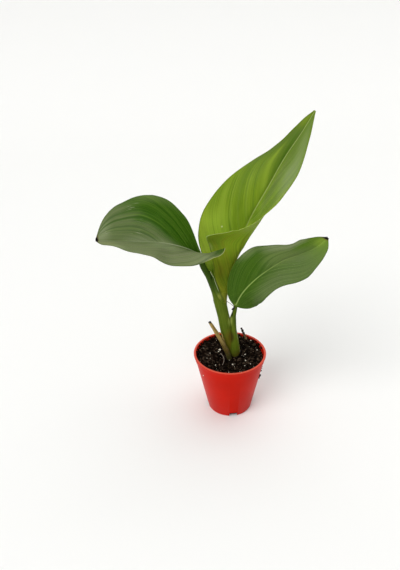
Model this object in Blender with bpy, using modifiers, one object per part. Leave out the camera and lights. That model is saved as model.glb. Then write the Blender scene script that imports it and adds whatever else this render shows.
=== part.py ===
# Giant bird of paradise seedling in a small round nursery pot, as separate solids.
# Sizes are in millimetres and are turned to metres where a mesh is made.
# The origin is the centre of the pot's flat underside and +Z is up. The plant's fan of
# leaves lies close to the XZ plane, with the upper faces of its leaves towards -Y.

from math import cos, pi, radians, sin

import bmesh
import bpy
from mathutils import Vector, noise

MM = 0.001
CLEARANCE = 0.3

# Pot: a tapering moulded tub with a collar under a thick lip
POT_HEIGHT = 49.0
POT_BASE_RADIUS = 17.0
POT_WALL_TOP_RADIUS = 27.0
POT_WALL = 1.0
POT_FLOOR = 1.2
COLLAR_HEIGHT = 5.0
COLLAR_STEP = 0.5
LIP_WIDTH = 1.8
LIP_ROUNDING = 0.4
BASE_ROUNDING = 0.6
POT_SEGMENTS = 64

# Drainage slots round the corner between floor and wall
SLOT_COUNT = 4
SLOT_WIDTH = 6.3
SLOT_HEIGHT = 3.6
SLOT_INNER_RADIUS = 12.8
SLOT_OUTER_RADIUS = 20.0
SLOT_ROUNDING = 0.7
SLOT_FIRST_ANGLE = -84.0

# Potting soil: fills the pot to a little under the lip, with a crumbly top
SOIL_TOP = 46.3
SOIL_DIP = 1.6
SOIL_LUMP_SIZE = 6.0
SOIL_RINGS = 9
SOIL_SEGMENTS = 40
FOOT_FLAT_RADIUS = 6.5
FOOT_FADE_RADIUS = 10.0

# Limbs: stations along the centre line as (x, y, z, half width). Those that rise from the
# soil start below its top and are cut off flat just above it
GROUND = SOIL_TOP + CLEARANCE
STEM_FLATNESS = 0.8
LIMB_SAMPLES = 14
LIMB_ROUNDNESS = 4
CAP_ANGLE = 50.0
MAIN_STEM = [
    (3.9, 0.0, 44.0, 4.6),
    (3.3, 0.0, 46.6, 4.7),
    (2.2, 0.0, 52.0, 4.9),
    (0.9, 0.0, 60.0, 5.3),
    (-0.6, 0.0, 68.6, 5.7),
    (-1.4, 0.0, 73.5, 5.5),
    (-3.3, 0.0, 78.5, 4.2),
    (-4.6, 0.0, 84.0, 4.1),
    (-6.2, 0.0, 90.6, 4.3),
    (-7.4, 0.0, 96.0, 4.9),
]
LEFT_STALK = [
    (-9.8, -0.7, 96.3, 2.2),
    (-13.2, -3.3, 108.3, 2.2),
    (-15.2, -5.5, 115.5, 2.4),
    (-17.4, -7.9, 121.7, 2.4),
    (-19.4, -9.9, 128.0, 2.3),
    (-20.2, -10.2, 133.6, 2.0),
]
CENTRE_STALK = [
    (-4.9, 0.3, 97.2, 2.6),
    (-5.1, 0.3, 99.5, 2.7),
    (-5.4, 0.3, 102.1, 2.7),
]
RIGHT_STALK = [
    (2.8, -1.0, 79.6, 1.8),
    (2.9, -1.8, 82.8, 1.6),
    (3.4, -2.9, 87.0, 1.5),
    (3.5, -3.7, 90.8, 1.3),
]
DEAD_STALK = [
    (1.5, -7.1, 44.0, 2.3),
    (0.4, -6.9, 46.6, 2.3),
    (-2.6, -6.3, 54.0, 2.1),
    (-6.6, -5.0, 61.5, 1.9),
    (-11.0, -4.4, 70.0, 1.7),
    (-15.0, -4.2, 77.6, 1.2),
]
DEAD_TWIG = [
    (15.0, 17.6, 44.5, 0.8),
    (14.2, 18.0, 46.6, 0.8),
    (12.6, 19.0, 51.5, 0.8),
    (10.4, 20.0, 57.0, 0.6),
]

# Leaves. A midrib runs from the stalk to the tip, and each half of the blade leaves it
# square to the midrib, turned by the values below. All of them are (station, value)
# pairs, with station 0 at the stalk and 1 at the tip:
#   width   along the blade from midrib to margin
#   lift    degrees that the half rises out of the leaf's plane at the midrib
#   curl    degrees that it turns further before the margin
#   bend    where along the half that turn is centred, as a share of its width
#   spread  half the length of that turn, as a share of the half's width
#   sweep   degrees that the half leans towards the tip
# facing is the direction of the upper face.
BLADE_STEPS = 48
LEAST_WIDTH = 0.5
FLAT = [(0.0, 0.0), (1.0, 0.0)]
EVEN = [(0.0, 0.5), (1.0, 0.5)]

CENTRE_LEAF = {
    "thickness": 1.6,
    "rows": 36,
    "columns": 28,
    "midrib": [
        (-6.0, 0.5, 103.0),
        (-2.5, 2.5, 115.0),
        (5.0, 5.5, 132.5),
        (12.5, 8.0, 150.0),
        (26.0, 9.0, 175.5),
        (35.0, 7.0, 194.0),
        (45.0, 3.0, 212.0),
        (50.5, 0.0, 223.5),
    ],
    "facing": [(0.0, (0.1, -1.0, 0.25)), (0.5, (0.05, -1.0, 0.3)), (1.0, (0.0, -1.0, 0.35))],
    "left": {
        "width": [(0, 3), (0.1, 15), (0.2, 26.5), (0.35, 32.5), (0.5, 28.5), (0.65, 19), (0.8, 8.5),
                  (0.92, 5), (1, LEAST_WIDTH)],
        "lift": [(0, 20), (0.1, 16), (0.2, 14), (0.5, 12), (1, 15)],
        "curl": FLAT,
        "bend": EVEN,
        "spread": EVEN,
        "sweep": FLAT,
    },
    "right": {
        "width": [(0, 9), (0.1, 20), (0.2, 27), (0.27, 34), (0.33, 32), (0.42, 30), (0.55, 26.5),
                  (0.7, 23), (0.85, 12), (0.94, 4), (1, LEAST_WIDTH)],
        "lift": [(0, 60), (0.1, 45), (0.2, 38), (0.35, 45), (0.5, 68), (0.7, 68), (1, 30)],
        "curl": [(0, 112), (0.1, 124), (0.2, 130), (0.27, 128), (0.33, 102), (0.4, 71), (0.5, 34),
                 (0.7, 0), (1, 0)],
        "bend": [(0, 0.38), (0.1, 0.3), (0.2, 0.18), (0.35, 0.26), (0.5, 0.5), (1, 0.5)],
        "spread": [(0, 0.3), (0.1, 0.22), (0.2, 0.18), (0.35, 0.22), (0.5, 0.4), (1, 0.4)],
        "sweep": FLAT,
    },
}
LEFT_LEAF = {
    "thickness": 1.1,
    "rows": 30,
    "columns": 20,
    "midrib": [
        (-19.6, -9.0, 134.5),
        (-26.0, -10.0, 138.7),
        (-32.5, -10.0, 141.5),
        (-43.6, -8.0, 143.6),
        (-60.6, -3.0, 143.2),
        (-76.0, 2.0, 142.0),
        (-92.3, 7.0, 140.8),
    ],
    "facing": [(0.0, (-0.3, -0.75, 0.7)), (0.5, (0.0, -0.7, 0.75)), (1.0, (-0.1, -0.75, 0.65))],
    "left": {
        "width": [(0, 18), (0.08, 18.5), (0.2, 21), (0.35, 28.5), (0.5, 23.5), (0.65, 18), (0.8, 12.5),
                  (0.92, 6), (1, LEAST_WIDTH)],
        "lift": [(0, 50), (0.1, 50), (0.2, 37), (0.35, 48), (0.5, 52), (0.65, 53), (0.8, 58), (1, 50)],
        "curl": FLAT,
        "bend": EVEN,
        "spread": EVEN,
        "sweep": [(0, -138), (0.2, -30), (0.5, 0), (1, 5)],
    },
    "right": {
        "width": [(0, 3), (0.08, 22.5), (0.2, 31), (0.35, 32.5), (0.5, 31.5), (0.65, 29), (0.8, 24),
                  (0.92, 15), (1, LEAST_WIDTH)],
        "lift": [(0, 20), (0.5, 20), (1, 10)],
        "curl": FLAT,
        "bend": EVEN,
        "spread": EVEN,
        "sweep": [(0, 50), (0.3, 29), (0.6, 5), (1, 5)],
    },
}
RIGHT_LEAF = {
    "thickness": 1.0,
    "rows": 28,
    "columns": 16,
    "midrib": [
        (3.5, -4.0, 91.6),
        (8.0, -7.0, 103.3),
        (16.4, -9.0, 114.8),
        (26.8, -10.0, 124.0),
        (34.5, -10.5, 129.4),
        (44.9, -10.5, 133.5),
        (55.4, -9.5, 137.7),
        (64.1, -7.5, 144.0),
    ],
    "facing": [(0.0, (0.2, -0.9, 0.5)), (0.5, (-0.1, -0.85, 0.55)), (1.0, (-0.1, -0.85, 0.5))],
    "left": {
        "width": [(0, 1), (0.08, 7.5), (0.2, 14.5), (0.35, 19.5), (0.5, 19), (0.65, 13), (0.8, 10.5),
                  (0.92, 6), (1, LEAST_WIDTH)],
        "lift": [(0, 25), (0.2, 12), (0.35, 16), (0.5, 26), (0.65, 46), (0.8, 42), (1, 15)],
        "curl": FLAT,
        "bend": EVEN,
        "spread": EVEN,
        "sweep": FLAT,
    },
    "right": {
        "width": [(0, 2), (0.08, 11), (0.2, 14), (0.35, 18.5), (0.5, 18), (0.65, 18.5), (0.8, 12.5),
                  (0.92, 6.5), (1, LEAST_WIDTH)],
        "lift": [(0, 15), (0.15, 18), (0.3, 36), (0.45, 38), (0.62, 24), (0.8, 7), (1, 10)],
        "curl": FLAT,
        "bend": EVEN,
        "spread": EVEN,
        "sweep": FLAT,
    },
}


def clear_scene():
    for obj in list(bpy.data.objects):
        bpy.data.objects.remove(obj, do_unlink=True)


def new_collection(name):
    collection = bpy.data.collections.new(name)
    bpy.context.scene.collection.children.link(collection)
    return collection


def linear(channel):
    if channel <= 0.04045:
        return channel / 12.92
    return ((channel + 0.055) / 1.055) ** 2.4


def make_material(name, hex_colour, roughness):
    material = bpy.data.materials.new(name)
    material.use_nodes = True
    shader = material.node_tree.nodes["Principled BSDF"]
    channels = [int(hex_colour[i:i + 2], 16) / 255 for i in (0, 2, 4)]
    shader.inputs["Base Color"].default_value = [linear(c) for c in channels] + [1.0]
    shader.inputs["Roughness"].default_value = roughness
    shader.inputs["Metallic"].default_value = 0.0
    return material


# A smooth curve through (station, value) pairs, with each slope taken from the neighbours
def through(table, at):
    last = len(table) - 1
    k = 0
    while k < last - 1 and at > table[k + 1][0]:
        k += 1
    step = table[k + 1][0] - table[k][0]
    x = (at - table[k][0]) / step
    start = table[k][1]
    end = table[k + 1][1]
    slope_in = slope(table, k) * step
    slope_out = slope(table, k + 1) * step
    return (start * (2 * x**3 - 3 * x**2 + 1) + slope_in * (x**3 - 2 * x**2 + x)
            + end * (3 * x**2 - 2 * x**3) + slope_out * (x**3 - x**2))


def slope(table, k):
    before = max(k - 1, 0)
    after = min(k + 1, len(table) - 1)
    if before == k or after == k:
        return (table[after][1] - table[before][1]) * (1 / (table[after][0] - table[before][0]))
    step_in = table[k][0] - table[before][0]
    step_out = table[after][0] - table[k][0]
    rise_in = (table[k][1] - table[before][1]) * (1 / step_in)
    rise_out = (table[after][1] - table[k][1]) * (1 / step_out)
    return (rise_in * step_out + rise_out * step_in) * (1 / (step_in + step_out))


# Points of a line, each with its share of the line's length as its station
def by_length(points):
    total = 0.0
    reached = [0.0]
    for start, end in zip(points, points[1:]):
        total += (end - start).length
        reached.append(total)
    return [(r / total, p) for r, p in zip(reached, points)]


def smooth_step(x):
    x = min(max(x, 0.0), 1.0)
    return x * x * (3 - 2 * x)


def link_mesh(name, shape, collection, material):
    mesh = bpy.data.meshes.new(name)
    shape.to_mesh(mesh)
    shape.free()
    obj = bpy.data.objects.new(name, mesh)
    obj.data.materials.append(material)
    collection.objects.link(obj)
    return obj


# A profile of (radius, height) points turned round the Z axis
def turned(name, profile, closed, segments, collection, material):
    mesh = bpy.data.meshes.new(name)
    corners = [(radius * MM, 0.0, height * MM) for radius, height in profile]
    edges = [(i, i + 1) for i in range(len(corners) - 1)]
    if closed:
        edges.append((len(corners) - 1, 0))
    mesh.from_pydata(corners, edges, [])
    obj = bpy.data.objects.new(name, mesh)
    obj.data.materials.append(material)
    collection.objects.link(obj)
    screw = obj.modifiers.new("turn", "SCREW")
    screw.angle = 2 * pi
    screw.steps = segments
    screw.render_steps = segments
    screw.use_merge_vertices = True
    screw.merge_threshold = 0.00001
    screw.use_smooth_shade = True
    return obj


def wall_radius(height):
    return POT_BASE_RADIUS + (POT_WALL_TOP_RADIUS - POT_BASE_RADIUS) * height / POT_HEIGHT


def pot_profile():
    lip_radius = POT_WALL_TOP_RADIUS + COLLAR_STEP
    lip_inner = lip_radius - LIP_WIDTH
    collar_foot = POT_HEIGHT - COLLAR_HEIGHT
    return [
        (lip_radius - LIP_ROUNDING, POT_HEIGHT),
        (lip_radius, POT_HEIGHT - LIP_ROUNDING),
        (wall_radius(collar_foot) + COLLAR_STEP, collar_foot),
        (wall_radius(collar_foot), collar_foot - COLLAR_STEP / 2),
        (wall_radius(BASE_ROUNDING), BASE_ROUNDING),
        (POT_BASE_RADIUS - BASE_ROUNDING, 0.0),
        (0.0, 0.0),
        (0.0, POT_FLOOR),
        (wall_radius(POT_FLOOR) - POT_WALL, POT_FLOOR),
        (lip_inner, POT_HEIGHT - LIP_WIDTH),
        (lip_inner, POT_HEIGHT - LIP_ROUNDING),
        (lip_inner + LIP_ROUNDING, POT_HEIGHT),
    ]


def make_slot_cutter(angle, collection, material):
    shape = bmesh.new()
    bmesh.ops.create_cube(shape, size=1.0)
    depth = SLOT_OUTER_RADIUS - SLOT_INNER_RADIUS
    for vert in shape.verts:
        vert.co.x = (SLOT_INNER_RADIUS + depth * (vert.co.x + 0.5)) * MM
        vert.co.y = vert.co.y * SLOT_WIDTH * MM
        vert.co.z = vert.co.z * 2 * SLOT_HEIGHT * MM
    along = [e for e in shape.edges if abs(e.verts[0].co.x - e.verts[1].co.x) > depth / 2 * MM]
    bmesh.ops.bevel(shape, geom=along, offset=SLOT_ROUNDING * MM, segments=3, profile=0.5,
                    affect="EDGES")
    cutter = link_mesh("slot_cutter", shape, collection, material)
    cutter.rotation_euler.z = radians(angle)
    cutter.hide_render = True
    cutter.display_type = "WIRE"
    return cutter


def make_pot(parts, cutters, material):
    pot = turned("pot", pot_profile(), True, POT_SEGMENTS, parts, material)
    for i in range(SLOT_COUNT):
        cutter = make_slot_cutter(SLOT_FIRST_ANGLE + 360 * i / SLOT_COUNT, cutters, material)
        cut = pot.modifiers.new("slot", "BOOLEAN")
        cut.operation = "DIFFERENCE"
        cut.object = cutter
    return pot


# How far the soil lies under its highest level: nothing round the foot of each limb
def soil_dip(x, y):
    dip = SOIL_DIP * (0.5 + 0.5 * noise.noise(Vector((x, y, 0.0)) / SOIL_LUMP_SIZE))
    for foot in (MAIN_STEM[1], DEAD_STALK[1], DEAD_TWIG[1]):
        distance = Vector((x - foot[0], y - foot[1])).length
        dip *= smooth_step((distance - FOOT_FLAT_RADIUS) / (FOOT_FADE_RADIUS - FOOT_FLAT_RADIUS))
    return dip


def make_soil(parts, material):
    foot = POT_FLOOR + CLEARANCE
    foot_radius = wall_radius(foot) - POT_WALL - CLEARANCE
    top_radius = wall_radius(SOIL_TOP - SOIL_DIP) - POT_WALL - CLEARANCE
    rings = [(top_radius * i / SOIL_RINGS, SOIL_TOP) for i in range(SOIL_RINGS + 1)]
    profile = rings + [(foot_radius, foot), (0.0, foot)]
    soil = turned("potting_soil", profile, False, SOIL_SEGMENTS, parts, material)
    depsgraph = bpy.context.evaluated_depsgraph_get()
    mesh = bpy.data.meshes.new_from_object(soil.evaluated_get(depsgraph))
    soil.modifiers.clear()
    soil.data = mesh
    for vert in mesh.vertices:
        if vert.co.z > (SOIL_TOP - CLEARANCE) * MM:
            vert.co.z -= soil_dip(vert.co.x / MM, vert.co.y / MM) * MM
    return soil


# A tapering limb through its stations, as a curve with a bevel and filled ends
def limb_curve(name, stations):
    centres = by_length([Vector(s[:3]) for s in stations])
    widths = [(at, s[3]) for (at, _), s in zip(centres, stations)]
    curve = bpy.data.curves.new(name, "CURVE")
    curve.dimensions = "3D"
    curve.bevel_depth = MM
    curve.bevel_resolution = LIMB_ROUNDNESS
    curve.use_fill_caps = True
    line = curve.splines.new("POLY")
    line.points.add(LIMB_SAMPLES)
    for i, point in enumerate(line.points):
        at = i / LIMB_SAMPLES
        centre = through(centres, at)
        point.co = (centre.x * MM, centre.y * MM, centre.z * MM, 1.0)
        point.radius = through(widths, at)
    return bpy.data.objects.new(name, curve)


def cut_flat(shape, height):
    everything = shape.verts[:] + shape.edges[:] + shape.faces[:]
    cut = bmesh.ops.bisect_plane(shape, geom=everything, plane_co=(0.0, 0.0, height * MM),
                                 plane_no=(0.0, 0.0, 1.0), clear_inner=True)
    rim = [part for part in cut["geom_cut"] if isinstance(part, bmesh.types.BMEdge)]
    bmesh.ops.contextual_create(shape, geom=rim)


def make_limb(name, stations, parts, material, flatness=1.0):
    source = limb_curve(name + "_line", stations)
    parts.objects.link(source)
    depsgraph = bpy.context.evaluated_depsgraph_get()
    mesh = bpy.data.meshes.new_from_object(source.evaluated_get(depsgraph))
    bpy.data.objects.remove(source, do_unlink=True)
    shape = bmesh.new()
    shape.from_mesh(mesh)
    bmesh.ops.remove_doubles(shape, verts=shape.verts, dist=0.00001)
    bmesh.ops.scale(shape, vec=(1.0, flatness, 1.0), verts=shape.verts)
    if stations[0][2] < GROUND:
        cut_flat(shape, GROUND)
    bmesh.ops.recalc_face_normals(shape, faces=shape.faces)
    limb = link_mesh(name, shape, parts, material)
    limb.data.shade_smooth()
    limb.data.set_sharp_from_angle(angle=radians(CAP_ANGLE))
    return limb


# Where the midrib is at a station, the way it runs, the upper side and the right side
def blade_frame(leaf, at):
    line = by_length([Vector(p) for p in leaf["midrib"]])
    little = 0.001
    along = through(line, min(at + little, 1.0)) - through(line, max(at - little, 0.0))
    along.normalize()
    facing = through([(s, Vector(v).normalized()) for s, v in leaf["facing"]], at)
    up = (facing - along * facing.dot(along)).normalized()
    return through(line, at), along, up, along.cross(up)


# A half's section at a station: how far out and how far up it is at each step of its width
def half_section(half, at):
    width = max(through(half["width"], at), LEAST_WIDTH)
    lift = radians(through(half["lift"], at))
    curl = radians(through(half["curl"], at))
    bend = through(half["bend"], at)
    spread = through(half["spread"], at)
    out = 0.0
    up = 0.0
    section = [(out, up)]
    for i in range(BLADE_STEPS):
        share = (i + 0.5) / BLADE_STEPS
        angle = lift + curl * smooth_step((share - bend + spread) / (2 * spread))
        out += cos(angle) * width / BLADE_STEPS
        up += sin(angle) * width / BLADE_STEPS
        section.append((out, up))
    return section


def blade_row(leaf, at, columns):
    middle, along, up, right = blade_frame(leaf, at)
    row = []
    for column in columns:
        side = -1 if column < 0 else 1
        half = leaf["left"] if column < 0 else leaf["right"]
        section = half_section(half, at)
        sweep = radians(through(half["sweep"], at))
        outward = right * side * cos(sweep) + along * sin(sweep)
        step = min(int(abs(column) * BLADE_STEPS), BLADE_STEPS - 1)
        rest = abs(column) * BLADE_STEPS - step
        out = section[step][0] * (1 - rest) + section[step + 1][0] * rest
        rise = section[step][1] * (1 - rest) + section[step + 1][1] * rest
        row.append(middle + outward * out + up * rise)
    return row


# A blade: a flat grid laid along the midrib, then given its thickness
def make_blade(name, leaf, parts, material):
    shape = bmesh.new()
    bmesh.ops.create_grid(shape, x_segments=leaf["columns"], y_segments=leaf["rows"], size=1.0)
    rows = {}
    for vert in shape.verts:
        rows.setdefault(round(vert.co.y, 5), []).append(vert)
    for height, verts in rows.items():
        places = blade_row(leaf, (height + 1) / 2, [v.co.x for v in verts])
        for vert, place in zip(verts, places):
            vert.co = place * MM
    blade = link_mesh(name, shape, parts, material)
    blade.data.shade_smooth()
    solid = blade.modifiers.new("thickness", "SOLIDIFY")
    solid.thickness = leaf["thickness"] * MM
    solid.offset = 0.0
    return blade


def build():
    clear_scene()
    parts = new_collection("giant_bird_of_paradise_seedling")
    cutters = new_collection("cutters")
    red_plastic = make_material("moulded red polypropylene", "B4241A", 0.4)
    soil = make_material("peat potting soil", "2A221B", 0.95)
    stem_green = make_material("green stem", "4E6A1C", 0.5)
    stalk_green = make_material("dark green stalk", "2F4F14", 0.5)
    young_leaf = make_material("young leaf", "7A962B", 0.42)
    old_leaf = make_material("full-grown leaf", "436A2A", 0.42)
    withered = make_material("withered stalk", "AFA055", 0.7)
    bark = make_material("dead twig", "4A3D2C", 0.85)
    make_pot(parts, cutters, red_plastic)
    make_soil(parts, soil)
    make_limb("main_stem", MAIN_STEM, parts, stem_green, STEM_FLATNESS)
    make_limb("left_stalk", LEFT_STALK, parts, stalk_green)
    make_limb("centre_stalk", CENTRE_STALK, parts, stem_green)
    make_limb("right_stalk", RIGHT_STALK, parts, stalk_green)
    make_limb("dead_stalk", DEAD_STALK, parts, withered)
    make_limb("dead_twig", DEAD_TWIG, parts, bark)
    make_blade("centre_leaf", CENTRE_LEAF, parts, young_leaf)
    make_blade("left_leaf", LEFT_LEAF, parts, old_leaf)
    make_blade("right_leaf", RIGHT_LEAF, parts, old_leaf)


build()
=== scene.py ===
import bpy
import numpy as np
from math import cos, pi, radians, sin
from mathutils import Matrix, Vector, noise


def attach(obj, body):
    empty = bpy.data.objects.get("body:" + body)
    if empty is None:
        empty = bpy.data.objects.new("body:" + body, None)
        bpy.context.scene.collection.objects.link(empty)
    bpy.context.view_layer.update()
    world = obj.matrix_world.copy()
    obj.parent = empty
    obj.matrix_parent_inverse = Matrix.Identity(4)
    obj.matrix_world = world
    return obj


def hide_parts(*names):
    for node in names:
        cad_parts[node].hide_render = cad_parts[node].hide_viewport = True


# A young giant bird of paradise in a small red nursery pot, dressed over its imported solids.
# Lengths in the dictionaries are in millimetres; the meshes are in metres.

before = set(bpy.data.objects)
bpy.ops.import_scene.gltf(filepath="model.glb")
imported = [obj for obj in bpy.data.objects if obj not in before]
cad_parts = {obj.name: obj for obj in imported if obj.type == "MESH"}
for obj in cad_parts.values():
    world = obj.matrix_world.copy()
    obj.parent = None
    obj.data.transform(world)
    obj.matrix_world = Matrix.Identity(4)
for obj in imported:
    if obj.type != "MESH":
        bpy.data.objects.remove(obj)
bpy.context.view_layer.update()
mm = 0.001


def hexColour(code):  # sRGB hex to linear
    channels = [int(code[i:i + 2], 16) / 255 for i in (0, 2, 4)]
    return [c / 12.92 if c <= 0.04045 else ((c + 0.055) / 1.055) ** 2.4 for c in channels] + [1.0]


# Adds a shader node with its settings. What feeds it is a list in the order of its sockets, or
# a dictionary by their names
def put(tree, kind, feeds=(), **settings):
    node = tree.nodes.new("ShaderNode" + kind)
    for key, value in settings.items():
        setattr(node, key, value)
    free = [socket for socket in node.inputs if socket.enabled]
    if isinstance(feeds, dict):
        pairs = [(next(s for s in free if s.name == name), value) for name, value in feeds.items()]
    else:
        pairs = list(zip(free, feeds))
    for socket, value in pairs:
        if isinstance(value, bpy.types.Node):
            value = next(out for out in value.outputs if out.enabled)
        if isinstance(value, bpy.types.NodeSocket):
            tree.links.new(value, socket)
        else:
            socket.default_value = hexColour(value) if isinstance(value, str) else value
    return node


# Lays a tint over a colour. A limit is a value, where its share is none, where it is full, and then
# how much full is and whether the change is eased. The shares of several limits are multiplied
def coat(tree, colour, tint, *limits):
    share = None
    for limit in limits:
        value, none, full, most, eased = (*limit, *(1.0, False)[len(limit) - 3:])
        part = put(tree, "MapRange", [value, none, full, 0.0, most],
                   interpolation_type="SMOOTHSTEP" if eased else "LINEAR")
        share = part if share is None else put(tree, "Math", [share, part], operation="MULTIPLY")
    return put(tree, "Mix", [share, colour, tint], data_type="RGBA")


# A tint inside an ellipsoid, full in its core and fading to none at its surface
def spot(tree, colour, tint, place, middle, size, core, most=1.0):
    local = put(tree, "Mapping", {"Vector": place, "Location": middle, "Scale": size},
                vector_type="TEXTURE")
    reached = put(tree, "VectorMath", [local], operation="LENGTH")
    return coat(tree, colour, tint, (reached, 1.0, core, most, True))


def paint(tree, shader, colour, height, strength, depth):  # a Mix node's colour, and a bump of this depth
    tree.links.new(colour.outputs[2], shader.inputs["Base Color"])
    bump = put(tree, "Bump", {"Height": height, "Strength": strength, "Distance": depth * mm})
    tree.links.new(bump.outputs[0], shader.inputs["Normal"])
    return bump


def newMaterial(name, **values):  # a Principled surface; returns the material, its tree and its shader
    material = bpy.data.materials.new(name)
    material.use_nodes = True
    shader = material.node_tree.nodes["Principled BSDF"]
    for key, value in values.items():
        shader.inputs[key.replace("_", " ")].default_value = value
    return material, material.node_tree, shader


def dress(obj, *materials):
    obj.data.materials.clear()
    for material in materials:
        obj.data.materials.append(material)


def onlySelect(*chosen):
    bpy.ops.object.select_all(action="DESELECT")
    for obj in chosen:
        obj.select_set(True)
    if chosen:
        bpy.context.view_layer.objects.active = chosen[0]


def modify(obj, kind, **settings):  # adds a modifier to the active object and applies it
    change = obj.modifiers.new(kind, kind)
    for key, value in settings.items():
        setattr(change, key, value)
    bpy.ops.object.modifier_apply(modifier=change.name)


def finishPiece(obj, name, nodes=()):
    obj.name = name
    obj.data.name = name
    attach(obj, "root")
    if nodes:
        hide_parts(*nodes)
    print(name, len(obj.data.polygons), "faces")
    return obj


def smooth(x):  # eases from 0 to 1
    x = np.clip(x, 0, 1)
    return x * x * (3 - 2 * x)


def bell(x, middle, half):  # 1 in the middle, fading on both sides
    return np.exp(-((x - middle) / half) ** 2)


def band(x, start, rise, end, fall):  # eases up from the start, and down again from the end
    return smooth((x - start) / rise) * (1 - smooth((x - end) / fall))


def through(table, at):  # a smooth curve through (station, value) pairs, values being numbers or vectors
    stations = np.array([row[0] for row in table], float)
    values = np.array([row[1] for row in table], float)
    flat = values.ndim == 1
    values = values[:, None] if flat else values
    steps = np.diff(stations)
    rises = np.diff(values, axis=0) / steps[:, None]
    slopes = np.concatenate([rises[:1], rises])
    for k in range(1, len(steps)):
        slopes[k] = (rises[k - 1] * steps[k] + rises[k] * steps[k - 1]) / (steps[k - 1] + steps[k])
    at = np.atleast_1d(np.asarray(at, float))
    k = np.clip(np.searchsorted(stations, at, side="right") - 1, 0, len(steps) - 1)
    h = steps[k][:, None]
    x = (at[:, None] - stations[k][:, None]) / h
    result = ((2 * x**3 - 3 * x**2 + 1) * values[k] + (x**3 - 2 * x**2 + x) * h * slopes[k]
              + (3 * x**2 - 2 * x**3) * values[k + 1] + (x**3 - x**2) * h * slopes[k + 1])
    return result[:, 0] if flat else result


def unit(vectors):
    return vectors / np.linalg.norm(vectors, axis=-1, keepdims=True)


def byLength(points):  # gives each point its share of the line's length as a station
    points = np.array(points, float)
    reached = np.concatenate([[0], np.cumsum(np.linalg.norm(np.diff(points, axis=0), axis=1))])
    return list(zip(reached / reached[-1], points))


def unevenness(points, size, seed):  # one smooth noise value for each point, about -1 to 1
    return np.array([noise.noise(Vector(p) / size + Vector((seed, seed, seed))) for p in points])


def newGrid(across, along):  # a grid of quads, and its vertices' numbers by row and column
    onlySelect()
    bpy.ops.mesh.primitive_grid_add(x_subdivisions=across, y_subdivisions=along, size=2)
    obj = bpy.context.object
    spots = np.zeros(len(obj.data.vertices) * 3)
    obj.data.vertices.foreach_get("co", spots)
    spots = spots.reshape(-1, 3)
    order = np.lexsort((spots[:, 0], np.round(spots[:, 1], 5)))
    columns = len(np.unique(np.round(spots[:, 0], 5)))
    return obj, order.reshape(-1, columns)


def placeGrid(obj, order, points):  # points has one place in mm for each row and column
    spots = np.zeros((len(obj.data.vertices), 3))
    spots[order.ravel()] = points.reshape(-1, 3) * mm
    obj.data.vertices.foreach_set("co", spots.ravel())
    obj.data.update()


def gridNormals(points):
    normals = np.cross(np.gradient(points, axis=1), np.gradient(points, axis=0))
    return normals / np.maximum(np.linalg.norm(normals, axis=-1, keepdims=True), 1e-9)


def keepValue(obj, order, name, values):  # stores a number for each grid vertex, for the material to read
    ordered = np.zeros(len(obj.data.vertices), np.float32)
    ordered[order.ravel()] = values.ravel()
    attribute = obj.data.attributes.new(name, "FLOAT", "POINT")
    attribute.data.foreach_set("value", ordered)


def turnFacesOut():  # of the mesh in edit mode
    bpy.ops.mesh.select_all(action="SELECT")
    bpy.ops.mesh.normals_make_consistent(inside=False)


def fillEnds():  # every open edge of the mesh in edit mode
    bpy.ops.mesh.select_mode(type="VERT")
    bpy.ops.mesh.select_all(action="DESELECT")
    bpy.ops.mesh.select_non_manifold(extend=False)
    bpy.ops.mesh.fill_holes(sides=0)


# A grid rolled into a closed tube: its seam is merged and its ends are filled
def rollGrid(obj, order, points, reach=0.02):
    placeGrid(obj, order, points)
    onlySelect(obj)
    bpy.ops.object.mode_set(mode="EDIT")
    bpy.ops.mesh.select_mode(type="VERT")
    bpy.ops.mesh.select_all(action="SELECT")
    bpy.ops.mesh.remove_doubles(threshold=reach * mm)
    fillEnds()
    turnFacesOut()
    bpy.ops.object.mode_set(mode="OBJECT")
    bpy.ops.object.shade_smooth_by_angle(angle=radians(60))
    return obj


potLook = {
    "red": "C81A05", "deepRed": "A01204",
    "paintedLipHighlight": "E4705A",  # painted highlight along the lip's top
    "lipFrom": 48.5, "lipFull": 48.9, "lipShare": 0.55,
    "grainMm": 0.5,
    "roughness": 0.36,
}


# In all materials a noise scale is a count for each metre, so 55 gives clouds of about 18 mm
def makePotPlastic():  # moulded polypropylene, dyed red: satin, with soft highlights and faint orange peel
    material, tree, shader = newMaterial("mouldedRedPolypropylene", Roughness=potLook["roughness"],
                                         IOR=1.49, Specular_IOR_Level=0.05)
    place = put(tree, "TexCoord").outputs["Object"]
    cloud = put(tree, "TexNoise", [place, 55.0, 3.0])
    colour = coat(tree, potLook["red"], potLook["deepRed"], (cloud, 0.35, 0.9, 0.5))
    height = put(tree, "SeparateXYZ", [place]).outputs["Z"]
    # a painted highlight: the band along the lip's top is lightened
    colour = coat(tree, colour, potLook["paintedLipHighlight"],
                  (height, potLook["lipFrom"] * mm, potLook["lipFull"] * mm, potLook["lipShare"]))
    grain = put(tree, "TexNoise", [place, 1000 / potLook["grainMm"], 2.0])
    paint(tree, shader, colour, grain, 0.12, 0.1)
    return material


potShape = {
    "profile": [  # (radius, height) from the underside round the lip to the inner floor
        (16.4, 0.0), (16.8, 0.15), (17.1, 0.6), (26.0, 43.9), (26.15, 44.0), (26.45, 44.2), (26.5, 44.5),
        (27.3, 47.8), (27.36, 47.95), (27.45, 48.05), (27.5, 48.3), (27.5, 48.6), (27.35, 48.9),
        (27.0, 49.0), (26.3, 49.0), (25.95, 48.85), (25.8, 48.5), (25.65, 47.0), (16.3, 1.9), (15.6, 1.2)],
    "wallFoot": (17.1, 0.6), "wallTop": (26.0, 43.9),  # the straight part of the profile's outside
    "facets": 144,
    "slots": 4,
    "slotWidth": 6.3,
    "slotHeight": 3.6,
    "slotInner": 12.8,
    "slotOuter": 20.0,
    "slotRounding": 0.7,
    "firstSlot": -84.0,
}


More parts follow.
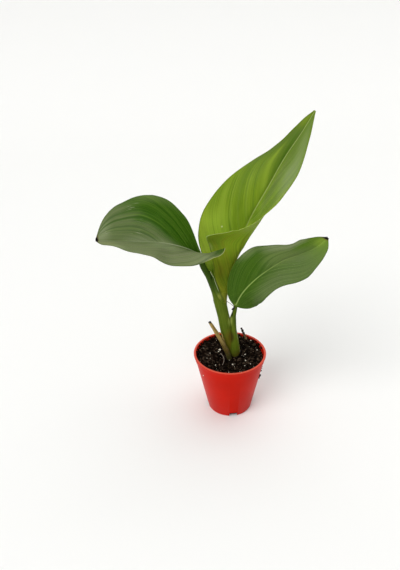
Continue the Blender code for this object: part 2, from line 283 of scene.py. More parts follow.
def makePot(plastic):
    onlySelect()
    profile = potShape["profile"]
    bpy.ops.mesh.primitive_circle_add(vertices=potShape["facets"], radius=profile[0][0] * mm,
                                      fill_type="NGON")
    pot = bpy.context.object
    bpy.ops.object.mode_set(mode="EDIT")
    bpy.ops.mesh.select_mode(type="FACE")
    bpy.ops.mesh.select_all(action="SELECT")
    for (radius, height), (nextRadius, nextHeight) in zip(profile, profile[1:]):  # each ring from the last
        move = (0, 0, (nextHeight - height) * mm)
        bpy.ops.mesh.extrude_region_move(TRANSFORM_OT_translate={"value": move})
        share = nextRadius / radius
        bpy.ops.transform.resize(value=(share, share, 1), center_override=(0, 0, 0))
    turnFacesOut()
    bpy.ops.object.mode_set(mode="OBJECT")
    depth = potShape["slotOuter"] - potShape["slotInner"]
    out = (potShape["slotInner"] + depth / 2) * mm
    size = (depth * mm, potShape["slotWidth"] * mm, potShape["slotHeight"] * 2 * mm)
    for i in range(potShape["slots"]):  # drainage slots round the corner of the base
        onlySelect()
        angle = radians(potShape["firstSlot"] + 360 * i / potShape["slots"])
        bpy.ops.mesh.primitive_cube_add(size=1, location=(out * cos(angle), out * sin(angle), 0),
                                        rotation=(0, 0, angle), scale=size)
        cutter = bpy.context.object
        bpy.ops.object.transform_apply(location=False, rotation=False, scale=True)
        modify(cutter, "BEVEL", width=potShape["slotRounding"] * mm, segments=3)
        onlySelect(pot)
        modify(pot, "BOOLEAN", operation="DIFFERENCE", solver="EXACT", object=cutter)
        bpy.data.objects.remove(cutter)
    onlySelect(pot)
    bpy.ops.object.shade_smooth_by_angle(angle=radians(35))
    dress(pot, plastic)
    return finishPiece(pot, "nurseryPot", ["pot"])


soilShape = {
    "around": 200,
    "topRings": 84,
    "sideRings": 12,
    "topRadius": 25.3,
    "footRadius": 16.0,
    "foot": 1.5,
    "top": 45.8,
    "tilt": 0.085,  # rise for each mm towards the back
    "lumps": [(7.0, 1.1, 3.0), (2.6, 1.1, 11.0), (1.3, 0.7, 29.0)],  # size, height, noise seed
    "edgeFrom": 0.75, "edgeDip": 0.2,
    "stemFoot": (3.0, -1.0),
    "heap": 1.5, "heapReach": 7.5,
}
soilLook = {
    "dark": "030100",
    "brown": "241810",
    "grainMm": 0.9,
    "crumbDark": "050200",
    "crumbBrown": "86705C",
}


def makePeat():  # damp peat mix: near black, matt, with browner dry grains
    material, tree, shader = newMaterial("dampPeat", Roughness=0.85, Specular_IOR_Level=0.02)
    place = put(tree, "TexCoord").outputs["Object"]
    cloud = put(tree, "TexNoise", [place, 420.0, 5.0, 0.7])
    grains = put(tree, "TexVoronoi", {"Vector": place, "Scale": 1000 / soilLook["grainMm"]})
    colour = coat(tree, soilLook["dark"], soilLook["brown"], (cloud, 0.42, 0.75))
    coarse = paint(tree, shader, colour, grains, 0.8, 0.4)
    fine = put(tree, "Bump", {"Height": cloud, "Strength": 0.7, "Distance": 0.4 * mm, "Normal": coarse})
    tree.links.new(fine.outputs[0], shader.inputs["Normal"])
    return material


def soilHeight(x, y):  # how high the soil's top is, in mm
    points = np.stack([x, y, np.zeros_like(x)], axis=-1).reshape(-1, 3)
    height = soilShape["top"] + soilShape["tilt"] * points[:, 1]
    for size, rise, seed in soilShape["lumps"]:
        height += rise * unevenness(points, size, seed)
    out = np.hypot(points[:, 0], points[:, 1]) / soilShape["topRadius"]
    edge = soilShape["edgeFrom"]
    height -= soilShape["edgeDip"] * smooth((out - edge) / (1 - edge))
    footX, footY = soilShape["stemFoot"]
    near = np.hypot(points[:, 0] - footX, points[:, 1] - footY)
    height += soilShape["heap"] * bell(near, 0, soilShape["heapReach"])
    return height.reshape(np.shape(x))


def makeSoil(peat):
    rings = soilShape["topRings"]
    bed, order = newGrid(soilShape["around"], rings + soilShape["sideRings"])
    rows, columns = order.shape
    sides = rows - rings - 1
    angle = np.linspace(0, 2 * pi, columns)[None, :]
    topRadius = soilShape["topRadius"]
    radius = np.concatenate([np.linspace(0, 1, rings) * topRadius,
                             np.linspace(topRadius, soilShape["footRadius"], sides), [0]])[:, None]
    x = radius * np.cos(angle)
    y = radius * np.sin(angle)
    down = np.concatenate([np.zeros(rings), np.linspace(0, 1, sides), [1]])[:, None]
    z = soilHeight(x, y) * (1 - down) + soilShape["foot"] * down
    rollGrid(bed, order, np.stack([x, y, z], axis=-1), reach=0.005)
    dress(bed, peat)
    return finishPiece(bed, "pottingSoil", ["potting_soil"])


def makeLump(detail, roughness, seed):  # one irregular grain of radius 1 mm
    onlySelect()
    bpy.ops.mesh.primitive_ico_sphere_add(subdivisions=detail, radius=mm)
    lump = bpy.context.object
    for vertex in lump.data.vertices:
        where = vertex.co / mm * 0.9 + Vector((seed, 3 * seed, -seed))
        vertex.co *= 1 + roughness * noise.noise(where)
    return lump


def copiesJoined(kinds, material, places):  # places: kind, matrix, tone; every copy has its own mesh
    copies = []
    for kind in kinds:
        dress(kind, material)
    for kind, matrix, tone in places:
        copy = kinds[kind].copy()
        copy.data = kinds[kind].data.copy()
        copy.data.transform(matrix)
        shade = copy.data.attributes.new("tone", "FLOAT", "POINT")
        shade.data.foreach_set("value", [tone] * len(copy.data.vertices))
        bpy.context.collection.objects.link(copy)
        copies.append(copy)
    onlySelect(*copies)
    bpy.ops.object.join()
    joined = bpy.context.object
    for kind in kinds:
        bpy.data.objects.remove(kind)
    return joined


def seat(x, y, sink=0.0):  # a place on the soil, or this far below its top
    top = float(soilHeight(np.array([x]), np.array([y]))[0])
    return Matrix.Translation(Vector((x, y, top - sink)) * mm)


def onWall(angle, height, size):  # a grain stuck to the outside of the pot
    footRadius, foot = potShape["wallFoot"]
    topRadius, top = potShape["wallTop"]
    out = footRadius + (height - foot) * (topRadius - footRadius) / (top - foot) + 0.3 * size
    where = Vector((out * cos(radians(angle)), out * sin(radians(angle)), height)) * mm
    return Matrix.Translation(where) @ Matrix.Diagonal((size, size, size * 1.4, 1))


def makeCrumbMaterial():  # peat crumbs and bark fines: matt, from near black to dry brown
    material, tree, shader = newMaterial("peatCrumbs", Roughness=0.7, Specular_IOR_Level=0.03)
    place = put(tree, "TexCoord").outputs["Object"]
    cloud = put(tree, "TexNoise", [place, 900.0, 4.0])
    tone = put(tree, "Attribute", attribute_name="tone").outputs["Fac"]
    toned = put(tree, "Mix", [tone, soilLook["crumbDark"], soilLook["crumbBrown"]], data_type="RGBA")
    colour = coat(tree, soilLook["crumbDark"], toned, (cloud, 0.25, 0.75))
    paint(tree, shader, colour, cloud, 0.6, 0.3)
    return material


crumbShape = {
    "count": 1300,
    "kinds": 7,  # the first is modelled finer
    "roughness": 0.7,
    "smallest": 0.28,
    "largest": 1.4,
    "strewn": 24.9,
    "sink": 0.15,  # the share of its size that a crumb lies in the soil
    "reach": 25.3,  # nothing lies further out, so that nothing comes through the pot's wall
    "paleSize": 0.6,  # larger crumbs are darker
    "onInnerWall": [(8, 80, 40), (96, 176, 34)],  # from and to round the pot, and how many
    "wallRadius": 25.45, "wallLow": 46.6, "wallRise": 1.8,
    "wallSmallest": 0.3, "wallLarger": 0.45, "wallTone": 0.1,
    "seed": 4,
}


def makeCrumbs(material):
    rng = np.random.default_rng(crumbShape["seed"])
    kinds = [makeLump(2 if i < 1 else 1, crumbShape["roughness"], i + 1.3)
             for i in range(crumbShape["kinds"])]
    smallest, largest = crumbShape["smallest"], crumbShape["largest"]
    places = []
    for i in range(crumbShape["count"]):
        out = crumbShape["strewn"] * np.sqrt(rng.random())
        angle = 2 * pi * rng.random()
        size = smallest + (largest - smallest) * rng.random() ** 3
        out = min(out, crumbShape["reach"] - 2 * size)
        turn = Matrix.Rotation(rng.random() * 6, 4, "Z") @ Matrix.Rotation(rng.random() * 6, 4, "X")
        shape = Matrix.Diagonal((size * (0.8 + rng.random()), size, size * (0.5 + 0.5 * rng.random()), 1))
        tone = rng.random() ** 2.6 * min(1.0, crumbShape["paleSize"] / size)
        here = seat(out * cos(angle), out * sin(angle), crumbShape["sink"] * size)
        places.append((i % len(kinds), here @ turn @ shape, tone))
    for start, end, count in crumbShape["onInnerWall"]:  # some cling to the pot's inner wall at the back
        for i in range(count):
            angle = radians(start + (end - start) * rng.random())
            height = crumbShape["wallLow"] + crumbShape["wallRise"] * rng.random() ** 1.5
            out = crumbShape["wallRadius"]
            where = Vector((out * cos(angle), out * sin(angle), height)) * mm
            size = crumbShape["wallSmallest"] + crumbShape["wallLarger"] * rng.random()
            shape = Matrix.Diagonal((size, size, size * 1.3, 1))
            places.append((i % len(kinds), Matrix.Translation(where) @ shape, crumbShape["wallTone"]))
    return finishPiece(copiesJoined(kinds, material, places), "soilCrumbs")


fibreShape = {
    "count": 70,
    "radius": 0.22,
    "bow": 0.25, "taper": 0.35, "unevenness": 0.06,
    "strewn": 24.0,
    "shortest": 0.5, "longer": 1.3,  # half lengths
    "proud": 0.12,  # how far a sliver's middle is above the soil
}


def makeFibres(material):  # slivers of bark and peat fibre lying on the soil
    rng = np.random.default_rng(crumbShape["seed"] + 1)
    onlySelect()
    bpy.ops.mesh.primitive_cylinder_add(vertices=7, radius=fibreShape["radius"] * mm, depth=2 * mm)
    sliver = bpy.context.object
    bpy.ops.object.mode_set(mode="EDIT")
    bpy.ops.mesh.select_all(action="SELECT")
    bpy.ops.mesh.subdivide(number_cuts=3)
    bpy.ops.object.mode_set(mode="OBJECT")
    uneven = Vector((1, 1, 1)) * fibreShape["unevenness"] * mm
    for vertex in sliver.data.vertices:
        along = vertex.co.z / mm
        vertex.co.x += fibreShape["bow"] * mm * along * along
        vertex.co.xy *= 1 - fibreShape["taper"] * abs(along)
        vertex.co += uneven * noise.noise(vertex.co / mm * 2.5)
    places = []
    for i in range(fibreShape["count"]):
        out = fibreShape["strewn"] * np.sqrt(rng.random())
        angle = 2 * pi * rng.random()
        long = fibreShape["shortest"] + fibreShape["longer"] * rng.random() ** 2
        out = min(out, crumbShape["reach"] - 1.4 * long)
        turn = Matrix.Rotation(rng.random() * 6.3, 4, "Z")
        turn = turn @ Matrix.Rotation(pi / 2 + 0.5 * (rng.random() - 0.5), 4, "Y")  # lying, nearly level
        shape = Matrix.Diagonal((1.0, 0.8 + rng.random(), long, 1))
        tone = 0.25 + 0.75 * rng.random()
        here = seat(out * cos(angle), out * sin(angle), -fibreShape["proud"])
        places.append((0, here @ turn @ shape, tone))
    return finishPiece(copiesJoined([sliver], material, places), "soilFibres")


perliteShape = {
    "speck": (-146, 37.8, 0.4),  # one on the pot's outside: angle round the pot, height, size
    "grains": [  # x, y, radius
        (-7.4, 6.0, 0.95), (-8.3, 4.7, 0.65), (-15.1, 2.9, 0.5), (-11.3, -9.9, 0.55), (1.5, -11.3, 0.65),
        (11.5, -6.9, 0.7), (17.8, 16.4, 0.7), (11.8, -0.4, 0.65), (21.3, 4.0, 0.5), (14.6, -11.5, 0.45),
        (10.3, -13.2, 0.4), (-17.5, -4.0, 0.35), (-4.5, 15.5, 0.45), (6.0, 18.5, 0.5), (-13.0, 13.0, 0.4),
        (16.0, -4.5, 0.3), (12.6, 12.0, 0.35), (-2.0, -19.0, 0.35)],
    "strewn": 24.0,
    "dust": 46, "dustSmallest": 0.13, "dustLarger": 0.14,  # the finest grains
    "proud": 0.35, "dustProud": 0.4,  # above the soil: a share of the grain's radius, and mm
    "roughness": 0.45,
    "grey": "A89C84", "white": "FFFBEA",
}


def makePerlite():
    material, tree, shader = newMaterial("expandedPerlite", Roughness=0.9)  # blown rock: chalky and pitted
    cloud = put(tree, "TexNoise", [put(tree, "TexCoord").outputs["Object"], 1500.0, 3.0])
    colour = put(tree, "Mix", [cloud, perliteShape["grey"], perliteShape["white"]], data_type="RGBA")
    paint(tree, shader, colour, cloud, 0.5, 0.2)
    kinds = [makeLump(2 if i < 4 else 1, perliteShape["roughness"], i + 20.7) for i in range(5)]
    places = []
    for i, (x, y, radius) in enumerate(perliteShape["grains"]):
        turn = Matrix.Rotation(i * 1.7, 4, "Z") @ Matrix.Rotation(i * 0.9, 4, "X")
        shape = Matrix.Diagonal((radius, radius * 0.85, radius * 0.75, 1))
        here = seat(x, y, -perliteShape["proud"] * radius)
        places.append((i % 4, here @ turn @ shape, 1.0))
    rng = np.random.default_rng(crumbShape["seed"] + 2)
    for i in range(perliteShape["dust"]):
        out, angle = perliteShape["strewn"] * np.sqrt(rng.random()), 2 * pi * rng.random()
        size = perliteShape["dustSmallest"] + perliteShape["dustLarger"] * rng.random()
        shape = Matrix.Diagonal((size, size, size, 1))
        here = seat(out * cos(angle), out * sin(angle), -perliteShape["dustProud"])
        places.append((4, here @ shape, 1.0))
    places.append((0, onWall(*perliteShape["speck"]), 1.0))
    grains = copiesJoined(kinds, material, places)
    onlySelect(grains)
    bpy.ops.object.shade_smooth_by_angle(angle=radians(50))
    return finishPiece(grains, "perliteGrains")


wallCrumbShape = {
    "crumbs": [(-17, 30.8, 0.9), (-20, 29.5, 0.7), (-16, 35.2, 0.55), (-23, 31.8, 0.4), (-15, 37.4, 0.4),
               (-15, 39.0, 0.3)],  # angle round the pot, height, size
    "tone": 0.12,
}


def makeWallCrumbs(material):
    kinds = [makeLump(2, crumbShape["roughness"], 31.1), makeLump(1, crumbShape["roughness"], 33.4)]
    places = [(i % 2, onWall(*row), wallCrumbShape["tone"])
              for i, row in enumerate(wallCrumbShape["crumbs"])]
    finishPiece(copiesJoined(kinds, material, places), "wallCrumbs")


# How far a stalk's skin stands out at a turn round it and a share t of its length: ribs that come and
# go, a channel that faces the plant's middle, dents and knobs
def relief(shape, turn, t):
    out = 0 * turn
    if "ribs" in shape:
        strength, count, seed = shape["ribs"]
        wave = 0.6 * np.sin(turn * count + 2.2 * np.sin(t * 9 + seed))
        out = strength * (wave + 0.4 * np.sin(turn * count * 0.37 + seed + t * 5))
    if "ribsFade" in shape:
        start, over, most = shape["ribsFade"]
        out = out * (1 - most * smooth((t - start) / over))
    if "channel" in shape:
        middle, half, start, rise, end, fall, depth = shape["channel"]
        out = out - depth * bell(turn, middle, half) * band(t, start, rise, end, fall)
    out = out + shape.get("shrunk", 0) * np.sin(t * 31) * np.sin(t * 13 + 1)
    for height, times, slant in shape.get("knobs", ()):
        out = out + height * np.sin(turn * times + t * slant)
    return out


def sweepTube(shape):  # a closed tube along stations of x, y, z, half width and half depth
    stations = shape["stations"]
    boxiness = shape.get("boxiness", 2.0)
    lines = byLength([s[:3] for s in stations])
    widths = [(at, s[3]) for (at, _), s in zip(lines, stations)]
    depths = [(at, s[4]) for (at, _), s in zip(lines, stations)]
    tube, order = newGrid(shape["around"], shape["along"])
    rows, columns = order.shape
    t = np.linspace(0, 1, rows)
    centre = through(lines, t)
    run = unit(through(lines, np.minimum(t + 0.002, 1)) - through(lines, np.maximum(t - 0.002, 0)))
    facing = np.array((0.0, -1.0, 0.0))
    front = unit(facing[None, :] - run * (run @ facing)[:, None])
    right = np.cross(front, run)  # towards +X where the front is -Y
    width = through(widths, t)[:, None]
    depth = through(depths, t)[:, None]
    turn = np.linspace(0, 2 * pi, columns)[None, :] + pi  # starts at the back, so the seam is there
    side, ahead = np.sin(turn), np.cos(turn)
    scale = (np.abs(side) ** boxiness + np.abs(ahead) ** boxiness) ** (-1 / boxiness)
    turned = (turn + pi) % (2 * pi) - pi + 0 * width
    extra = relief(shape, turned, t[:, None] + 0 * turned)
    out = side * scale * (width + extra)
    forward = ahead * scale * (depth + extra)
    points = centre[:, None] + right[:, None] * out[..., None] + front[:, None] * forward[..., None]
    return rollGrid(tube, order, points)


def makeStalk(shape, material, name, nodes):
    stalk = sweepTube(shape)
    dress(stalk, material)
    return finishPiece(stalk, name, nodes)


stalkLook = {
    "green": "52640B", "deep": "3E5206", "pale": "7C8E38", "brown": "5A4A1C",
    "streak": 0.35,
    "fibres": (48.0, 2.2, 1.0),  # streaks round the stalk and along it
    "shadeStripesFrom": 66.0, "shadeStripesFull": 76.0,
    "brownFrom": 56.0, "brownFull": 46.0,
}
bruise = ((0.8, -4.2, 65.0), (2.9, 3.2, 7.0), "3A300C", 0.85)  # place, radii, colour and share
# a pale sheath tip in the fork: partly its own pale colour, partly painted light that lifts the shade in
# the notch
paleTip = ((0.0, -3.2, 79.0), (2.2, 4.5, 6.5), "9CAA50", 0.65)
stalkFinishes = {  # what differs from stalkLook
    "livingStem": {
        # darker green above 98 mm: painted shade on the left stalk
        "upper": (98.0, 112.0, "2A480A", 0.75),
        "spots": [bruise, ((-1.0, -3.8, 62.0), (5.5, 4.0, 13.0), "5E5210", 0.65), paleTip,
                  # painted shadow in the gap between the sheath's wing and the stalk
                  ((-13.4, -6.5, 117.3), (1.0, 3.0, 5.0), "1A2C04", 0.8),
                  # painted highlight on the sheath's tip
                  ((-7.9, -5.4, 100.0), (2.2, 2.2, 5.5), "8A9038", 0.6)]},
    "rightSheath": {
        "upper": (84.0, 96.0, "304C0C", 0.8),
        "shadeStripes": [(0.64, 0.05, "1E3806", 0.7), (0.4, 0.05, "1E3806", 0.5)],  # dark bands of painted shade, by share of the way round
        "spots": [bruise, paleTip, ((7.0, -1.6, 54.0), (1.2, 3.0, 3.4), "7A7C3E", 0.8),
                  # painted shade down the right stalk's left side
                  ((1.2, -2.5, 84.3), (1.1, 2.4, 4.0), "141E04", 0.9)]},
    "innerSheath": {"green": "747A1C", "deep": "5E6A12", "pale": "8C9632"},
    "paleMidrib": {"green": "8CA034", "deep": "7A9028", "pale": "A4B458"},
    "sheathMargin": {"green": "66762E", "deep": "56661E", "pale": "76863E",
                     "upper": (104.0, 109.0, "BCC896", 0.8)},
}


# Living petiole tissue: smooth cuticle over lengthwise fibres, so satin with fine pale streaks
def makeStalkMaterial(name):
    look = dict(stalkLook, **stalkFinishes[name])
    material, tree, shader = newMaterial(name, Roughness=0.45, IOR=1.45, Specular_IOR_Level=0.07)
    place = put(tree, "TexCoord").outputs["Object"]
    height = put(tree, "SeparateXYZ", [place]).outputs["Z"]
    spread = put(tree, "UVMap", uv_map="UVMap").outputs[0]
    drawn = put(tree, "Mapping", {"Vector": spread, "Scale": look["fibres"]})
    streaks = put(tree, "TexNoise", [drawn, 1.0, 4.0, 0.6])
    cloud = put(tree, "TexNoise", [place, 110.0, 3.0])
    colour = coat(tree, look["green"], look["deep"], (cloud, 0.3, 0.7, 0.8))
    colour = coat(tree, colour, look["pale"], (streaks, 0.35, 0.7, look["streak"]))
    if "upper" in look:  # another green above these heights
        start, full, green, most = look["upper"]
        colour = coat(tree, colour, green, (height, start * mm, full * mm, most, True))
    for middle, half, stripe, most in look.get("shadeStripes", ()):  # bands of painted shade up the stalk
        wayRound = put(tree, "SeparateXYZ", [spread]).outputs["X"]
        off = put(tree, "Math", [wayRound, middle], operation="SUBTRACT")
        off = put(tree, "Math", [off], operation="ABSOLUTE")
        colour = coat(tree, colour, stripe, (off, half, 0.3 * half, most, True),
                      (height, look["shadeStripesFrom"] * mm, look["shadeStripesFull"] * mm))
    colour = coat(tree, colour, look["brown"],
                  (height, look["brownFrom"] * mm, look["brownFull"] * mm, 0.8, True), (cloud, 0.3, 0.7))
    for where, radii, tint, most in look.get("spots", ()):
        where, radii = [c * mm for c in where], [c * mm for c in radii]
        colour = spot(tree, colour, tint, place, where, radii, 0.3, most)
    paint(tree, shader, colour, streaks, 0.35, 0.2)
    return material


stemShape = {  # the leaf bases rolled together, running on as the left leaf's stalk
    "stations": [
        (2.9, 0.6, 42.0, 2.2, 2.6), (2.6, 0.4, 46.0, 3.1, 3.2), (2.1, 0.2, 49.0, 4.0, 3.9),
        (1.2, 0.2, 52.5, 4.5, 4.0), (-0.7, 0.2, 60.5, 4.75, 4.0), (-2.3, 0.2, 68.6, 4.7, 3.9),
        (-3.8, 0.2, 76.0, 4.45, 3.8), (-4.4, 0.2, 79.2, 4.3, 3.7), (-5.5, 0.2, 84.8, 4.3, 3.7),
        (-6.6, 0.1, 90.4, 4.45, 3.7), (-7.2, 0.0, 94.6, 4.8, 3.7), (-8.0, -0.2, 96.9, 4.5, 3.6),
        (-8.9, -0.6, 98.6, 3.8, 3.4), (-10.5, -1.4, 102.4, 2.95, 2.9), (-12.1, -2.6, 107.2, 2.65, 2.5),
        (-13.3, -3.8, 110.9, 2.45, 2.3), (-15.2, -5.6, 116.9, 2.35, 2.1), (-17.3, -7.7, 121.9, 2.15, 2.0),
        (-19.4, -9.6, 127.8, 2.05, 1.9), (-20.2, -9.6, 132.0, 1.9, 1.8), (-22.0, -9.3, 134.8, 1.5, 1.5),
        (-26.4, -9.1, 137.3, 1.2, 1.2), (-32.7, -8.9, 140.0, 1.0, 1.0), (-43.7, -7.1, 142.4, 0.8, 0.8),
        (-60.6, -2.3, 142.2, 0.55, 0.55), (-76.0, 2.5, 141.3, 0.35, 0.35)],
    "around": 96, "along": 520, "boxiness": 2.3,
    "ribs": (0.05, 34, 0.0),  # height, count round the stalk, seed
    "channel": (1.15, 0.42, 0.36, 0.08, 0.62, 0.1, 0.75),  # turn, half width, start, rise, end, fall, depth
    "forkHeight": 95.0,
}


def makeStem(stemGreen):
    stem = sweepTube(stemShape)
    dress(stem, stemGreen)
    onlySelect(stem)
    bpy.ops.object.mode_set(mode="EDIT")
    bpy.ops.mesh.select_mode(type="FACE")
    bpy.ops.mesh.select_all(action="DESELECT")
    bpy.ops.object.mode_set(mode="OBJECT")
    for polygon in stem.data.polygons:
        polygon.select = polygon.center.z > stemShape["forkHeight"] * mm
    bpy.ops.object.mode_set(mode="EDIT")
    bpy.ops.mesh.separate(type="SELECTED")
    bpy.ops.object.mode_set(mode="OBJECT")
    stalk = next(obj for obj in bpy.context.selected_objects if obj is not stem)
    for piece in (stem, stalk):  # both cut ends are closed again
        onlySelect(piece)
        bpy.ops.object.mode_set(mode="EDIT")
        fillEnds()
        bpy.ops.object.mode_set(mode="OBJECT")
    finishPiece(stem, "mainStem", ["main_stem"])
    finishPiece(stalk, "leftStalk", ["left_stalk"])


rightSheath = {  # the sheath on the stem's right side, running on as the right leaf's stalk
    "stations": [
        (3.0, 0.2, 42.0, 1.8, 2.2), (3.0, -0.2, 45.6, 2.5, 3.2), (3.5, -0.3, 48.4, 3.5, 4.0),
        (3.75, -0.3, 51.6, 3.75, 4.4), (3.6, -0.3, 56.0, 3.35, 4.45), (3.3, -0.3, 61.4, 2.95, 4.35),
        (2.75, -0.3, 68.6, 2.25, 4.2), (2.45, -0.35, 74.0, 2.15, 3.7), (2.3, -0.5, 79.2, 2.15, 2.7),
        (2.6, -0.9, 82.0, 1.75, 2.0), (3.0, -1.6, 84.5, 1.55, 1.6), (3.5, -2.6, 88.2, 1.4, 1.35),
        (3.9, -2.9, 91.2, 1.3, 1.15), (5.9, -3.4, 95.6, 1.1, 1.0), (8.6, -5.2, 102.2, 0.95, 0.95),
        (16.6, -7.7, 113.9, 0.85, 0.85), (27.0, -8.8, 123.3, 0.7, 0.7), (34.6, -9.6, 128.9, 0.6, 0.6),
        (45.0, -9.8, 133.0, 0.45, 0.45), (55.4, -8.9, 137.3, 0.35, 0.35)],
    "around": 84, "along": 460, "boxiness": 3.2,
    "ribs": (0.05, 30, 1.7),
    "ribsFade": (0.35, 0.2, 0.7),  # start, over how much of the length, and how far
    "channel": (-0.25, 0.5, 0.24, 0.04, 0.33, 0.06, 0.55),
}
centreFoot = {  # the youngest leaf's rolled foot, from inside the left sheath to its midrib
    "stations": [
        (-5.6, -0.2, 88.0, 2.9, 2.6), (-5.3, -0.6, 94.6, 3.0, 2.9), (-5.3, -1.5, 98.8, 3.4, 3.4),
        (-5.8, -2.1, 102.2, 4.3, 3.6), (-6.3, -2.0, 105.2, 4.8, 3.5), (-6.4, -0.8, 108.8, 4.4, 3.0),
        (-5.0, 1.5, 111.5, 2.4, 1.9)],
    "around": 72, "along": 120, "ribs": (0.04, 26, 0.4),
}
centreRib = {
    "stations": [
        (-5.0, 1.8, 107.5, 1.7, 1.8), (-3.8, 2.6, 111.5, 1.4, 1.5), (-2.2, 3.7, 115.5, 1.3, 1.3),
        (5.3, 6.8, 133.0, 1.15, 1.2), (12.8, 9.2, 150.4, 1.0, 1.05), (26.3, 10.1, 175.8, 0.75, 0.8),
        (35.3, 7.9, 194.2, 0.55, 0.6), (45.2, 3.7, 212.1, 0.35, 0.4)],
    "around": 32, "along": 300, "ribs": (0.03, 14, 0.9),
}

sheathWing = {  # the open edge of the left stalk's sheath, which wraps the youngest leaf's foot
    "fold": [
        (-16.4, -7.2, 121.0), (-14.2, -5.2, 115.0), (-13.0, -4.4, 110.5), (-11.8, -3.8, 106.0),
        (-10.6, -3.0, 101.5), (-9.0, -2.4, 97.5), (-6.6, -2.2, 93.5)],
    "margin": [
        (-14.3, -7.4, 121.5), (-11.4, -6.0, 115.0), (-9.9, -6.3, 110.2), (-8.0, -6.4, 104.8),
        (-6.2, -5.8, 100.6), (-5.0, -4.8, 97.6), (-4.2, -3.8, 95.4)],
    "across": 16, "along": 60,
    "bulge": 0.7, "thickness": 0.5,
    "bead": 0.38, "beadAround": 10, "beadTaper": 0.11,  # the taper is for each point of the margin
}


def makeSheathWing(stemGreen, marginGreen):
    wing, order = newGrid(sheathWing["across"], sheathWing["along"])
    rows, columns = order.shape
    t = np.linspace(0, 1, rows)
    u = np.linspace(0, 1, columns)[None, :, None]
    fold = through(byLength(sheathWing["fold"]), t)[:, None]
    margin = through(byLength(sheathWing["margin"]), t)[:, None]
    points = fold * (1 - u) + margin * u
    points[..., 1] -= sheathWing["bulge"] * np.sin(pi * u[..., 0])
    placeGrid(wing, order, points)
    onlySelect(wing)
    bpy.ops.object.shade_smooth()
    modify(wing, "SOLIDIFY", thickness=sheathWing["thickness"] * mm, offset=0)
    bpy.ops.object.mode_set(mode="EDIT")
    turnFacesOut()
    bpy.ops.object.mode_set(mode="OBJECT")
    dress(wing, stemGreen)
    finishPiece(wing, "sheathWing")
    bead, taper = sheathWing["bead"], sheathWing["beadTaper"]
    line = [(*p, bead * (1 - taper * i), bead) for i, p in enumerate(sheathWing["margin"])]
    beadShape = {"stations": line, "around": sheathWing["beadAround"], "along": sheathWing["along"]}
    makeStalk(beadShape, marginGreen, "sheathMargin", ())


deadStub = {  # the withered stalk of a fourth leaf
    "stations": [
        (0.8, -5.0, 42.0, 1.6, 1.4), (-0.4, -5.2, 46.0, 1.75, 1.5), (-1.5, -5.3, 50.0, 1.9, 1.6),
        (-2.8, -5.4, 54.0, 1.85, 1.6), (-6.4, -5.2, 62.0, 1.55, 1.3), (-10.6, -4.5, 70.3, 1.35, 1.15),
        (-13.9, -4.3, 76.6, 1.15, 1.05), (-15.2, -4.2, 78.9, 1.05, 1.0)],
    "around": 60, "along": 150, "boxiness": 2.2,
    "ribs": (0.10, 15, 2.0),
    "channel": (0.7, 0.45, 0.12, 0.2, 2.0, 1.0, 0.75),
    "shrunk": 0.12,
}
tornShred = {  # a shred of the dead sheath, from the stub across to the stem and down beside it
    "stations": [
        (-9.0, -4.5, 69.8, 0.3, 0.3), (-7.4, -4.7, 69.5, 0.3, 0.3), (-6.2, -4.8, 68.0, 0.45, 0.3),
        (-5.6, -4.7, 65.6, 0.45, 0.3), (-4.5, -4.7, 62.4, 0.3, 0.3), (-3.2, -4.8, 58.5, 0.25, 0.25)],
    "around": 20, "along": 60, "ribs": (0.06, 7, 0.3),
}
deadLook = {
    "dark": "7E642C", "straw": "C6AC66",
    # colour, the heights where there is none and all of it, and whether it is eased
    "coats": [("5A4C1A", 72.0, 56.0, True), ("3C3A12", 56.0, 49.0, True), ("15100C", 77.8, 78.4, False)],
}


# Withered petiole: dry, fibrous straw, browner towards the soil and black at the cut
def makeDeadMaterial():
    material, tree, shader = newMaterial("witheredPetiole", Roughness=0.62, Specular_IOR_Level=0.3)
    height = put(tree, "SeparateXYZ", [put(tree, "TexCoord").outputs["Object"]]).outputs["Z"]
    spread = put(tree, "UVMap", uv_map="UVMap").outputs[0]
    drawn = put(tree, "Mapping", {"Vector": spread, "Scale": (26.0, 3.0, 1.0)})
    streaks = put(tree, "TexNoise", [drawn, 1.0, 5.0])
    colour = coat(tree, deadLook["dark"], deadLook["straw"], (streaks, 0.38, 0.66))
    for tint, none, full, eased in deadLook["coats"]:
        colour = coat(tree, colour, tint, (height, none * mm, full * mm, 1.0, eased))
    paint(tree, shader, colour, streaks, 0.6, 0.3)
    return material


twigShape = {
    "stations": [
        (15.6, 17.4, 43.5, 0.95, 0.8), (14.6, 17.8, 46.6, 0.85, 0.8), (13.6, 18.4, 49.3, 0.8, 0.7),
        (12.6, 19.0, 51.6, 0.85, 0.75), (11.9, 19.3, 53.4, 0.8, 0.8), (10.9, 19.8, 55.6, 0.75, 0.7),
        (10.2, 20.0, 57.1, 0.55, 0.5)],
    "around": 28, "along": 70,
    "knobs": [(0.12, 3, 14), (0.1, 7, -23), (0.12, 0, 40)],  # height, times round, slant along
    "black": "1B130E", "brown": "3A2B20", "flaked": "86683F", "flakedFrom": 53.5, "flakedFull": 50.0,
}


def makeTwigMaterial():  # dead bark: dull, near black, tan where it has flaked
    material, tree, shader = newMaterial("deadBark", Roughness=0.85)
    place = put(tree, "TexCoord").outputs["Object"]
    cloud = put(tree, "TexNoise", [place, 700.0, 4.0])
    height = put(tree, "SeparateXYZ", [place]).outputs["Z"]
    bark = put(tree, "Mix", [cloud, twigShape["black"], twigShape["brown"]], data_type="RGBA")
    colour = coat(tree, bark, twigShape["flaked"],
                  (height, twigShape["flakedFrom"] * mm, twigShape["flakedFull"] * mm))
    paint(tree, shader, colour, cloud, 0.8, 0.3)
    return material


